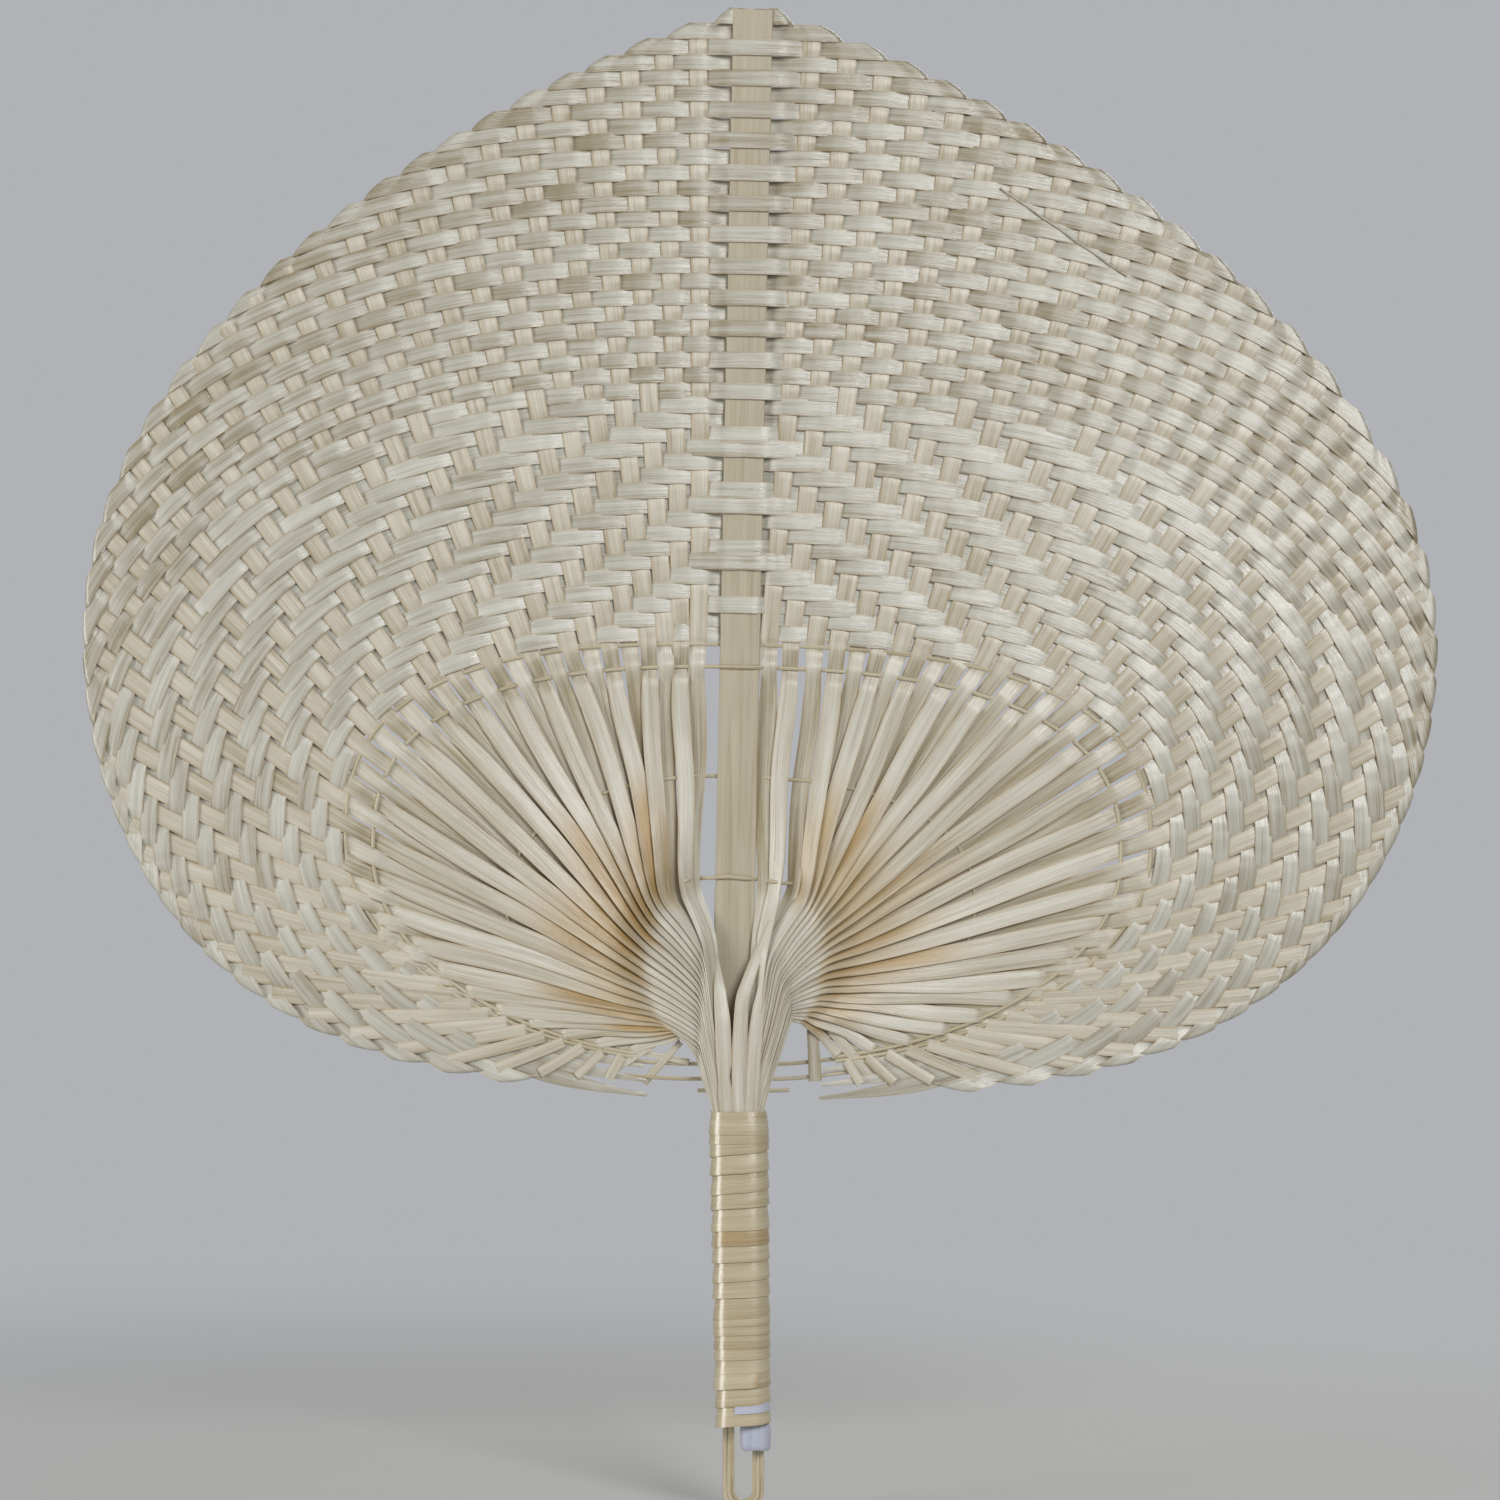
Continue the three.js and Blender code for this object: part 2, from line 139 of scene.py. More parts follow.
def weft_is_over(row, warp):
    """True where a row passes in front of a warp; warp 0 is the slat. The twill is over two, under two."""
    starts_behind = row < ROWS_BEHIND_SLAT and warp < 2
    ends_behind = row >= row_count - ROWS_BEHIND_SLAT and warp == 0
    in_open_corner = row < OPEN_CORNER_ROWS and warp > OPEN_CORNER_WARP + OPEN_CORNER_STEP * row
    if starts_behind or ends_behind or in_open_corner:
        return False
    if row < TWILL_ROWS:
        return (warp + row + 3) % 4 < 2
    return (warp + row) % 2 == 1


def smooth(x):
    """From 0 to 1, level at both ends."""
    x = np.clip(x, 0, 1)
    return x * x * (3 - 2 * x)


def ramp(x):
    """Like smooth, but steeper in the middle."""
    return smooth((x - 0.2) / 0.6)


def eased(x, stops, values):
    """The values at the stops, with smooth steps between them."""
    values = np.asarray(values, dtype=float)
    place = np.interp(x, stops, np.arange(len(stops)))
    low = np.clip(np.floor(place).astype(int), 0, len(stops) - 2)
    return values[low] + (values[low + 1] - values[low]) * smooth(place - low)


def near_spine(warp):
    """1 at the first warp, fading to 0 over the next few."""
    return 1 - smooth((np.asarray(warp) - 1) / FIRST_WARPS)


def unit(vectors):
    return vectors / np.maximum(np.linalg.norm(vectors, axis=-1, keepdims=True), 1e-9)


def lengths(path):
    """The length of a path up to each of its points."""
    return np.concatenate([[0], np.cumsum(np.linalg.norm(np.diff(path, axis=0), axis=1))])


def quarter_turn(vectors):
    """Flat vectors turned to the left by a right angle."""
    return np.stack([-vectors[..., 1], vectors[..., 0]], axis=-1)


def tangents(path):
    return unit(np.gradient(path, axis=0))


def sideways(path):
    """Unit vectors at right angles to a path, in the plane of the blade."""
    along = tangents(path)
    return unit(np.stack([along[:, 2], np.zeros(len(path)), -along[:, 0]], axis=1))


def joined(left, right):
    """Two halves that run outwards from the spine, as one from the left to the right."""
    return np.concatenate([left[::-1], right[1:]])


@dataclass
class Half:
    """One half of the blade. Shoulder and mouth are where its warps pass the neck and enter the grip."""

    name: str
    sign: int
    reach: float
    window_reach: float
    first_rib: float
    pull: float
    first_crest: float
    crest_to: float
    shoulder: tuple
    mouth: tuple

    def __post_init__(self):
        angle = np.linspace(0, math.pi, EDGE_POINTS)
        upper = angle < math.pi / 2
        power = np.where(upper, 2 / WINDOW_UPPER_POWER, 2 / WINDOW_LOWER_POWER)
        rise = np.where(upper, WINDOW_RISE, -WINDOW_DROP)
        edge_u = self.window_reach * np.abs(np.sin(angle)) ** power
        edge_v = WINDOW_MIDDLE + rise * np.abs(np.cos(angle)) ** power
        self.edge = np.stack([edge_u, edge_v], axis=1)
        self.along = lengths(self.edge)
        self.pitch = (self.along[-1] * LOWEST_RIB_SHARE - self.first_rib) / WARPS
        self.grid = np.arange(0, WARPS + 1.5 + GRID_STEP / 2, GRID_STEP)
        self.distances = np.arange(0, LANE_LENGTH, 1.0)
        self.levels = np.array([self.level(self.lane(w, self.distances)) for w in self.grid])

    def arc(self, warp):
        """Arc length along the window's edge. Warp 0 is the spine's axis and n the middle of warp n."""
        first = self.first_rib + self.pitch / 2
        last = first + (WARPS + 1) * self.pitch
        return np.interp(warp, [0, 1, WARPS + 2], [0, first, last])

    def window_point(self, warp):
        """Where a warp crosses the window's edge."""
        arc = self.arc(warp)
        return np.stack([np.interp(arc, self.along, self.edge[:, i]) for i in (0, 1)], axis=-1)

    def lane(self, warp, distance):
        """Points on a warp's way out, at distances from the window's edge."""
        start = self.window_point(warp)
        focus = LANE_FOCUS_ACROSS * np.tanh(self.arc(warp) / LANE_FOCUS_BLEND)
        lean = np.arctan2(start[..., 0] - focus, start[..., 1] - LANE_FOCUS_UP)
        turned = lean - LANE_BEND * np.sin(lean) * distance / 2
        drawn = self.pull * np.clip(warp, 0, 1) * near_spine(warp) * np.exp(-distance / PULL_FADE)
        u = start[..., 0] - drawn + distance * np.sin(turned)
        v = start[..., 1] + distance * np.cos(turned)
        return np.stack([u, v], axis=-1)

    def level(self, points):
        """How far points along a lane are from the window's edge, never falling."""
        gaps = points[:, None, :] - self.edge[None, ::EDGE_SKIP, :]
        nearest = np.sqrt((gaps ** 2).sum(axis=2).min(axis=1))
        return np.maximum.accumulate(nearest)

    def row_path(self, level):
        """The points of a line of one level, on the grid of warps."""
        far = [np.interp(level, row, self.distances) for row in self.levels]
        return np.array([self.lane(w, d) for w, d in zip(self.grid, far)])

    def rim(self, points):
        """Signed distance past the rim, and the rim's outward direction."""
        u = np.maximum(points[..., 0], 1e-6)
        v = points[..., 1] - RIM_MIDDLE
        above = v > 0
        power = np.where(above, RIM_UPPER_POWER, RIM_LOWER_POWER)
        height = np.where(above, RIM_RISE, RIM_DROP)
        value = (u / self.reach) ** power + (v / height) ** 2 - 1
        slope_u = power * (u / self.reach) ** (power - 1) / self.reach
        slope_v = 2 * v / height ** 2
        size = np.hypot(slope_u, slope_v)
        return value / size, np.stack([slope_u / size, slope_v / size], axis=-1)

    def rim_distance(self, warp):
        """How far along its lane a warp goes without a corner past the rim."""
        line = self.lane(warp, self.distances)
        past, away = self.rim(line)
        close = past > -RIM_SEARCH
        meets = float(np.interp(0, past[close], self.distances[close]))
        spot = int(meets)
        straight = unit(line[spot + 1] - line[spot]) @ away[spot]
        slip = math.sqrt(max(1 / straight ** 2 - 1, 0)) if straight > LEAST_STRAIGHT else MOST_SLIP
        return meets - RIM_CLEARANCE - WARP_WIDTH / 2 * min(slip, MOST_SLIP)

    def crest(self, warp):
        """Where a warp passes the crest. The first ones keep beside the slat."""
        share = (np.asarray(warp) - 0.5) / WARPS
        angle = np.radians(CREST_FROM + share * (self.crest_to - CREST_FROM))
        across = CREST_ACROSS - CREST_HALF_WIDTH * np.cos(angle)
        up = CREST_UP + CREST_HALF_HEIGHT * np.sin(angle)
        return np.stack([across + (self.first_crest - across) * near_spine(warp), up], axis=-1)

    def in_window(self, warp, towards):
        """Points across the window: towards is 0 at its edge and 1 at the crest."""
        towards = np.asarray(towards)[..., None]
        return self.lane(np.asarray(warp), 0.0) * (1 - towards) + self.crest(warp) * towards

    def place(self, points):
        """Blade coordinates to the frame's X and Z."""
        across = self.sign * points[..., 0]
        up = points[..., 1]
        x = GATHER_ACROSS + across * math.cos(BLADE_LEAN) + up * math.sin(BLADE_LEAN)
        z = GATHER_UP - across * math.sin(BLADE_LEAN) + up * math.cos(BLADE_LEAN)
        return np.stack([x, z], axis=-1)


HALVES = [
    Half(
        name="left",
        sign=-1,
        reach=157.6,
        window_reach=95.3,
        first_rib=5.2,
        pull=-2.5,
        first_crest=10.3,
        crest_to=278,
        shoulder=((-7.4, 79), (-9.8, 48)),
        mouth=(3, 3),
    ),
    Half(
        name="right",
        sign=1,
        reach=167.2,
        window_reach=101.2,
        first_rib=6,
        pull=1.7,
        first_crest=7.2,
        crest_to=240,
        shoulder=((2, 77), (11, 61)),
        mouth=(0.8, 5.1),
    ),
]

# The section of a splint: seven points across its front, two on its back. Its edges and its back are
# tinted golden brown: a painted shade in the gaps between splints, partly the cut edges' own yellower
# colour.
SECTION = np.array([-1, -0.7, -0.35, 0, 0.35, 0.7, 1, 1, -1])
FRONT = np.array([1, 1, 1, 1, 1, 1, 1, 0, 0])
FRONT_EDGE_SHADE_AND_TINT = 0.45
BACK_SHADE_AND_TINT = 0.08
EDGE_SHADE_AND_TINT = np.where(FRONT == 0, BACK_SHADE_AND_TINT, np.where(np.abs(SECTION) == 1, FRONT_EDGE_SHADE_AND_TINT, 0))

GRAIN_SCALE = 0.1
GRAIN_DRIFT = 400
SHARP_ANGLE = math.radians(40)


class Mesh:
    """Gathers closed strips into one mesh."""

    def __init__(self):
        self.points = []
        self.faces = []
        self.coords = []
        self.tones = []
        self.shades_and_stains = []
        self.count = 0

    def add(self, rings, along, across, tone, turned=False, closed_ends=True, warmth=0):
        """Rings is an array of stations x section points x 3."""
        stations, around, _ = rings.shape
        self.points.append(rings.reshape(-1, 3))
        drift = chance.uniform(0, GRAIN_DRIFT, 2)
        along = np.broadcast_to(np.asarray(along)[:, None], (stations, around))
        across = np.broadcast_to(across, (stations, around))
        self.coords.append(np.stack([along + drift[0], across + drift[1]], axis=-1).reshape(-1, 2))
        for store, value in ((self.tones, tone), (self.shades_and_stains, warmth)):
            store.append(np.broadcast_to(np.asarray(value, dtype=float), (stations, around)).reshape(-1))
        first = self.count + np.arange(stations - 1)[:, None] * around
        here = np.arange(around)[None, :]
        after = (here + 1) % around
        corners = [first + here, first + after, first + after + around, first + here + around]
        quads = np.stack(corners, axis=-1).reshape(-1, 4)
        if turned:
            quads = quads[:, ::-1]
        self.faces.extend(quads.tolist())
        if closed_ends:
            low = list(range(self.count, self.count + around))
            high = [i + (stations - 1) * around for i in low]
            self.faces.append(low if turned else low[::-1])
            self.faces.append(high[::-1] if turned else high)
        self.count += stations * around

    def build(self, node, material):
        """Makes the piece that replaces a node of the CAD part."""
        name = f"visual_{node}"
        mesh = bpy.data.meshes.new(name)
        points = np.concatenate(self.points) * METRES
        mesh.from_pydata(points.tolist(), [], self.faces)
        corners = np.empty(len(mesh.loops), dtype=np.int32)
        mesh.loops.foreach_get("vertex_index", corners)
        layer = mesh.uv_layers.new(name="grain")
        coords = np.concatenate(self.coords) * GRAIN_SCALE
        layer.data.foreach_set("uv", coords[corners].reshape(-1))
        for label, values in (("tone", self.tones), ("warmth", self.shades_and_stains)):
            attribute = mesh.attributes.new(label, "FLOAT", "POINT")
            attribute.data.foreach_set("value", np.concatenate(values))
        mesh.polygons.foreach_set("use_smooth", np.ones(len(mesh.polygons), dtype=bool))
        mesh.set_sharp_from_angle(angle=SHARP_ANGLE)
        mesh.materials.append(material)
        piece = bpy.data.objects.new(name, mesh)
        bpy.context.collection.objects.link(piece)
        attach(piece, "root")
        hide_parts(node)


def ribbon(mesh, path, across, front, half_width, thickness, crown, tone, turned=False, warmth=0):
    """A splint along a path. Across and front are unit vectors at each station."""
    half_width = np.broadcast_to(half_width, len(path))
    thickness = np.broadcast_to(thickness, len(path))
    rise = np.where(FRONT == 1, 0.5, -0.5)[None, :] * thickness[:, None]
    rise = rise + FRONT * crown * (1 - SECTION ** 2)
    side = SECTION[None, :] * half_width[:, None]
    rings = path[:, None, :] + across[:, None, :] * side[..., None] + front[:, None, :] * rise[..., None]
    mesh.add(rings, lengths(path), side, tone, turned, warmth=warmth)


def tube(mesh, path, radius, tone, sides=8):
    """A round rod along a path."""
    tangent = tangents(path)
    side = unit(np.cross(tangent, [0, 1, 0]))
    up = np.cross(side, tangent)
    angle = np.arange(sides) / sides * 2 * math.pi
    ring = np.cos(angle)[None, :, None] * side[:, None, :] + np.sin(angle)[None, :, None] * up[:, None, :]
    rings = path[:, None, :] + radius * ring
    mesh.add(rings, lengths(path), angle * radius, tone)


# Materials: the shares of the grain's parts in the colour.
FIBRE_SHARE = 0.8
STREAK_SHARE = 0.7
DRIFT_SHARE = 0.3
GRAIN_SHIFT = 0.3
TONE_SHARE = 0.5


def srgb(red, green, blue):
    """A colour in steps of 0 to 255 as linear values."""

    def channel(value):
        value /= 255
        return value / 12.92 if value <= 0.04045 else ((value + 0.055) / 1.055) ** 2.4

    return (channel(red), channel(green), channel(blue), 1)


def with_nodes(block):
    """The nodes of a material or a world, and their links."""
    block.use_nodes = True
    return block.node_tree.nodes, block.node_tree.links


def fill(node, **values):
    """Sets inputs of a node, named in lower case with underscores."""
    for socket in node.inputs:
        label = socket.name.lower().replace(" ", "_")
        if label in values and socket.enabled:
            socket.default_value = values[label]


def bamboo(name, pale, mid, dark, roughness, bump, gloss=0.5):
    """Split bamboo: fine fibres and streaks along the splint, and slow drifts of colour."""
    material = bpy.data.materials.new(name)
    nodes, links = with_nodes(material)
    shader = nodes["Principled BSDF"]
    fill(shader, specular_ior_level=gloss)

    grain = nodes.new("ShaderNodeUVMap")
    grain.uv_map = "grain"
    tone = nodes.new("ShaderNodeAttribute")
    tone.attribute_name = "tone"

    def stretched(along, across, detail, rough):
        mapping = nodes.new("ShaderNodeMapping")
        fill(mapping, scale=(along, across, 1))
        links.new(grain.outputs["UV"], mapping.inputs["Vector"])
        noise = nodes.new("ShaderNodeTexNoise")
        fill(noise, scale=1, detail=detail, roughness=rough)
        links.new(mapping.outputs["Vector"], noise.inputs["Vector"])
        return noise.outputs["Fac"]

    def maths(operation, first, second):
        node = nodes.new("ShaderNodeMath")
        node.operation = operation
        for socket, value in zip(node.inputs, (first, second)):
            if isinstance(value, (int, float)):
                socket.default_value = value
            else:
                links.new(value, socket)
        return node.outputs["Value"]

    fibre = stretched(along=0.5, across=34, detail=5, rough=0.65)
    streak = stretched(along=0.25, across=7, detail=3, rough=0.5)
    drift = stretched(along=0.35, across=0.6, detail=3, rough=0.5)
    mix = maths("ADD", maths("MULTIPLY", fibre, FIBRE_SHARE), maths("MULTIPLY", streak, STREAK_SHARE))
    mix = maths("ADD", mix, maths("MULTIPLY", drift, DRIFT_SHARE))
    mix = maths("SUBTRACT", mix, GRAIN_SHIFT)
    mix = maths("ADD", mix, maths("MULTIPLY", maths("SUBTRACT", tone.outputs["Fac"], 0.5), TONE_SHARE))

    colour = nodes.new("ShaderNodeValToRGB")
    elements = colour.color_ramp.elements
    elements[0].position = 0.32
    elements[0].color = srgb(*dark)
    elements[1].position = 0.86
    elements[1].color = srgb(*pale)
    middle = elements.new(position=0.56)
    middle.color = srgb(*mid)
    links.new(mix, colour.inputs["Fac"])

    # This attribute multiplies the colour towards golden brown: a painted shade along the splints' edges,
    # before the crest and at the wrap's loose end, a real stain on one turn of the wrap, and a tint on the
    # woven warps.
    warmth = nodes.new("ShaderNodeAttribute")
    warmth.attribute_name = "warmth"
    golden = nodes.new("ShaderNodeMix")
    golden.data_type = "RGBA"
    golden.blend_type = "MULTIPLY"
    fill(golden, b=srgb(222, 188, 130))
    links.new(warmth.outputs["Fac"], golden.inputs["Factor"])
    links.new(colour.outputs["Color"], golden.inputs["A"])
    links.new(golden.outputs["Result"], shader.inputs["Base Color"])

    spread = nodes.new("ShaderNodeMapRange")
    fill(spread, to_min=roughness - 0.08, to_max=roughness + 0.14)
    links.new(streak, spread.inputs["Value"])
    links.new(spread.outputs["Result"], shader.inputs["Roughness"])

    relief = nodes.new("ShaderNodeBump")
    fill(relief, strength=bump, distance=0.0002)
    links.new(mix, relief.inputs["Height"])
    links.new(relief.outputs["Normal"], shader.inputs["Normal"])
    return material


weft_material = bamboo(
    "weft_bamboo", (212, 210, 198), (186, 182, 167), (150, 139, 110), roughness=0.27, bump=0.6, gloss=0.9
)
warp_material = bamboo(
    "warp_bamboo", (219, 215, 201), (193, 186, 166), (155, 141, 106), roughness=0.3, bump=0.6, gloss=0.75
)
slat_material = bamboo(
    "slat_bamboo", (197, 188, 165), (184, 174, 150), (165, 151, 122), roughness=0.5, bump=0.3
)
skin_material = bamboo(
    "skin_bamboo", (203, 192, 163), (186, 173, 142), (162, 144, 107), roughness=0.2, bump=0.15, gloss=0.8
)
rod_material = bamboo(
    "rod_bamboo", (212, 203, 180), (193, 182, 154), (162, 146, 112), roughness=0.45, bump=0.3
)
tape_material = bamboo(
    "white_tape", (196, 199, 212), (181, 185, 201), (160, 164, 181), roughness=0.6, bump=0.2
)

# Wefts: how far from the blade's middle a row passes a warp and the slat.
WEFT_HEIGHT = 0.36
WEFT_PAST_SLAT = 1.2
SLAT_STEP_FROM = 0.45
SLAT_STEP_RUN = 0.5
FLOAT_BOW = 0.2
WEFT_CROWN = 0.08
WEFT_ROLL = 0.1
WEFT_WANDER = 0.1
WANDER_RUN = 15
WEFT_STEP = 1.2

# A row's width against its pitch, and how much wider its floats are.
TWILL_OVERLAP = 1.16
TWILL_WIDTH = (1.02, 0.04)
PLAIN_WIDTH = (1.04, 0.02)

# Rows that go past the rim fold over it. Towards the tip the folds are blunter.
FOLD_LEAST = 3
FOLD_RADIUS = 0.75
FOLD_TAIL = 9
TAIL_STATIONS = 20
FOLD_RUN = 14
RUN_STATIONS = 30
SIDE_FOLD_SHEAR = 1.8
TIP_FOLD_SHEAR = 1.3
SIDE_FOLD_ROUND = 0.5
TIP_FOLD_ROUND = 0.9
TIP_FOLD_ROWS = (25, 37)
RIM_LEVEL = -0.45
RIM_LEVEL_FROM = 5
RIM_LEVEL_RUN = 4
FAR_FROM_RIM = 20.0

# Other rows end in a loose, narrower tail.
LOOSE_END = 4
LOOSE_TAPER = 26
LOOSE_NARROWING = 0.75

# The rows' places and tones vary. The plain rows are darker: a painted shade towards the tip, where the
# light falls off.
ROW_JITTER = 0.15
TONE_STEP = 12
TONE_DRIFT = 0.16
PLAIN_ROWS_PAINTED_SHADE = 0.25

# The bands of the weft pieces, counted from the window: nine close ones, then wider ones.
WEFT_PIECES = 20
CLOSE_PIECES = 9
CLOSE_BAND = 6.8

# A stray splinter that lies on the weave.
SPLINTER_PIECE = 14
SPLINTER_FROM = (61.6, 2.55, 259.9)
SPLINTER_TO = (92, 2.55, 238.6)
SPLINTER_RADIUS = 0.2


def weft_heights(row, warps):
    """How far behind the blade's middle a row is at warp numbers, and how far into a float in front."""
    stops = np.arange(0, WARPS + 3)
    over = np.array([weft_is_over(row, n) for n in stops])
    height = np.where(over, -WEFT_HEIGHT, WEFT_HEIGHT)
    height[0] = math.copysign(WEFT_PAST_SLAT, height[0])
    low = np.clip(np.floor(warps).astype(int), 0, WARPS + 1)
    part = warps - low
    step = np.where(low == 0, smooth((part - SLAT_STEP_FROM) / SLAT_STEP_RUN), ramp(part))
    value = height[low] + (height[low + 1] - height[low]) * step
    same = over[low] == over[low + 1]
    bow = np.sin(part * math.pi)
    bulge = np.where(same, np.where(over[low], -FLOAT_BOW, FLOAT_BOW) * bow, 0)
    floating = np.where(same & over[low], 1, 0) * bow
    return value + bulge, floating


def fold_back(flat, outward, past, height):
    """Bends what is past the rim round behind it. Gives the flat points and how far back each one is."""
    bend = np.clip((past + FOLD_RADIUS) / FOLD_RADIUS, 0, math.pi)
    beyond = np.maximum(past + FOLD_RADIUS - math.pi * FOLD_RADIUS, 0)
    pulled = FOLD_RADIUS * np.sin(bend) - beyond - (past + FOLD_RADIUS)
    turned = flat + outward * np.where(past > -FOLD_RADIUS, pulled, 0)[..., None]
    depth = height + FOLD_RADIUS * (1 - np.cos(bend))
    rise = np.where(FRONT == 1, SPLINT / 2, -SPLINT / 2) + FRONT * WEFT_CROWN * (1 - SECTION ** 2)
    turned = turned + outward * (np.sin(bend) * rise)[..., None]
    return turned, depth - np.cos(bend) * rise


def half_row(half, row, level, full):
    """Rings of half a row from the spine outwards, with its end folded over the rim."""
    path = half.row_path(level)
    length = lengths(path)
    past, away = half.rim(path)
    outside = np.nonzero(past > 0)[0]
    folds = len(outside) > 0 and past[outside[0] :].max() > FOLD_LEAST
    run = tangents(path)
    if folds:
        i = outside[0]
        rim_at = np.interp(0, past[i - 1 : i + 1], length[i - 1 : i + 1])
        shear = (away[i] @ quarter_turn(run[i])) / max(away[i] @ run[i], 0.01)
        limit = np.interp(row, TIP_FOLD_ROWS, [SIDE_FOLD_SHEAR, TIP_FOLD_SHEAR])
        shear = np.clip(shear, -limit, limit)
        tail = rim_at + np.linspace(0, min(FOLD_TAIL, length[-1] - rim_at), TAIL_STATIONS)[1:]
    else:
        rim_at = length[-1] - chance.uniform(0, LOOSE_END)
        shear = 0
        tail = np.array([])
    start = max(rim_at - FOLD_RUN, 0)
    run_up = np.linspace(start, rim_at, RUN_STATIONS)
    stations = np.concatenate([np.arange(0, start, WEFT_STEP), run_up, tail])
    nearing = smooth((stations - start) / FOLD_RUN)

    heights, floating = weft_heights(row, np.interp(stations, length, half.grid))
    share, swell = TWILL_WIDTH if row < TWILL_ROWS else PLAIN_WIDTH
    wide = full / 2 * (share + swell * floating)
    if not folds:
        wide = wide * (1 - LOOSE_NARROWING * smooth((stations - rim_at + LOOSE_TAPER) / LOOSE_TAPER))
    wander = np.sin(stations / chance.uniform(8, 15) + chance.uniform(0, 6)) * WEFT_WANDER
    side = SECTION[None, :] * wide[:, None] + (wander * smooth(stations / WANDER_RUN))[:, None]

    slant = shear * nearing
    blunt = np.interp(row, TIP_FOLD_ROWS, [SIDE_FOLD_ROUND, TIP_FOLD_ROUND])
    round_off = blunt * SECTION ** 2 * nearing[:, None]
    spots = np.clip(stations[:, None] - side * slant[:, None] - round_off, 0, length[-1])
    centre = np.stack([np.interp(spots, length, path[:, i]) for i in (0, 1)], axis=-1)
    ahead = np.stack([np.interp(spots, length, run[:, i]) for i in (0, 1)], axis=-1)
    flat = centre + quarter_turn(ahead) * side[..., None]

    outward = unit(ahead + shear * quarter_turn(ahead))
    if folds:
        past = np.broadcast_to((stations - rim_at)[:, None] / math.hypot(1, shear), side.shape)
    else:
        past = np.full(side.shape, -FAR_FROM_RIM)
    near = smooth((past + RIM_LEVEL_FROM) / RIM_LEVEL_RUN)
    height = heights[:, None] * (1 - near) + RIM_LEVEL * near + WEFT_ROLL * side
    flat, depth = fold_back(flat, outward, past, height)
    placed = half.place(flat)
    rings = np.stack([placed[..., 0], BLADE_Y + depth, placed[..., 1]], axis=-1)
    return rings, stations * half.sign, side


def add_weft_row(mesh, row):
    """One row from the rim on the left to the rim on the right."""
    full = TWILL_PITCH * TWILL_OVERLAP if row < TWILL_ROWS else plain_pitch
    level = row_levels[row] + chance.uniform(-ROW_JITTER, ROW_JITTER)
    left, right = [half_row(half, row, level, full) for half in HALVES]
    rings, along, side = [joined(a, b) for a, b in zip(left, right)]
    knots = np.arange(along.min(), along.max() + TONE_STEP, TONE_STEP)
    # The plain rows are painted darker, a painted shade towards the tip.
    tone = chance.uniform(0.4, 0.65) - PLAIN_ROWS_PAINTED_SHADE * (row >= TWILL_ROWS)
    tone = tone + np.interp(along, knots, chance.uniform(-TONE_DRIFT, TONE_DRIFT, len(knots)))
    # The row's edges carry the painted shade for the gaps between splints.
    mesh.add(rings, along, side, tone[:, None], turned=True, warmth=EDGE_SHADE_AND_TINT)


def weft_piece(level):
    """The number of the piece whose band a level is in."""
    close = CLOSE_PIECES * CLOSE_BAND
    if level < close:
        return int(level / CLOSE_BAND)
    wide_band = (row_levels[-1] + plain_pitch / 2 - close) / (WEFT_PIECES - CLOSE_PIECES)
    return CLOSE_PIECES + int((level - close) / wide_band)


for number in range(WEFT_PIECES):
    mesh = Mesh()
    for row in range(row_count):
        if weft_piece(row_levels[row]) == number:
            add_weft_row(mesh, row)
    if number == SPLINTER_PIECE:
        splinter = np.linspace(SPLINTER_FROM, SPLINTER_TO, 12)
        tube(mesh, splinter, SPLINTER_RADIUS, tone=0.2, sides=6)
    mesh.build(f"weft_{number + 1:02d}", weft_material)

# Warps. Progress along one is 0 at the window's edge, 1 at the crest and 2 at the grip.
WINDOW_STATIONS = np.linspace(0, 1, 48)
NECK_STATIONS = np.linspace(0, 1, 26)[1:]
PROGRESS = np.concatenate([WINDOW_STATIONS, 1 + NECK_STATIONS])
WARP_HEIGHT = 0.27
WARP_SWAY = 0.6
WARP_CROWN = 0.12
WARP_STEP = 1.3
WOVEN_FROM = 0.4
FORWARD = np.array([0, -1.0, 0])

# The neck: its upper share ends at the shoulder.
NECK_TURN = 0.6
NECK_EASE = 0.6
SHOULDER_POWERS = np.array([0.4, 0.85])
TURN_SHARES = np.array([0.25, 0.4])
NECK_SMOOTHING = 5

# The width of a warp. The lowest warps are narrower.
WIDTH_STOPS = [0, 0.04, 0.14, 0.26, 0.5, 1, 1.5, 2]
WIDTH_SHARES = [1, 0.9, 0.86, 1.02, 0.98, 0.85, 0.8, 0.75]
LOW_WARP = 33
LOWEST_WIDTH = 0.52
GRIP_SPLINT = 0.2

# How far a warp stands on edge, in degrees. The first warps stay flatter.
LEAN_STOPS = [0.3, 0.65, 0.86, 0.98, 1.08, 1.4, 1.65, 2]
LEAN_DEGREES = [0, 8, 22, 46, 32, 32, 60, 80]
LEAN_WARPS = [1, 2, 4]
LEAN_SHARES = [0.2, 0.7, 1]
LEAN_JITTER = 6
LEAN_JITTER_RUN = 0.4

# How far behind the blade's middle the even warps are. The odd ones are as far in front of it.
# The lowest warps of both kinds pass behind the rods.
LAYER_STOPS = [0, 0.03, 0.11, 0.17, 0.55, 0.85, 1.1]
LAYERS = np.array([0, -0.5, 0.7, -0.4, -0.7, -0.9, -1])
BEHIND_RODS = 0.75
BEHIND_RODS_FROM = 31
BEHIND_RODS_RUN = 5
SINK_STOPS = [0.35, 1, 1.7]
SINK = [0, CREST_Y - BLADE_Y, NECK_Y - BLADE_Y]

# The ends inside the grip.
BUNDLE_TOP_DROP = 5
BUNDLE_FOOT = -36
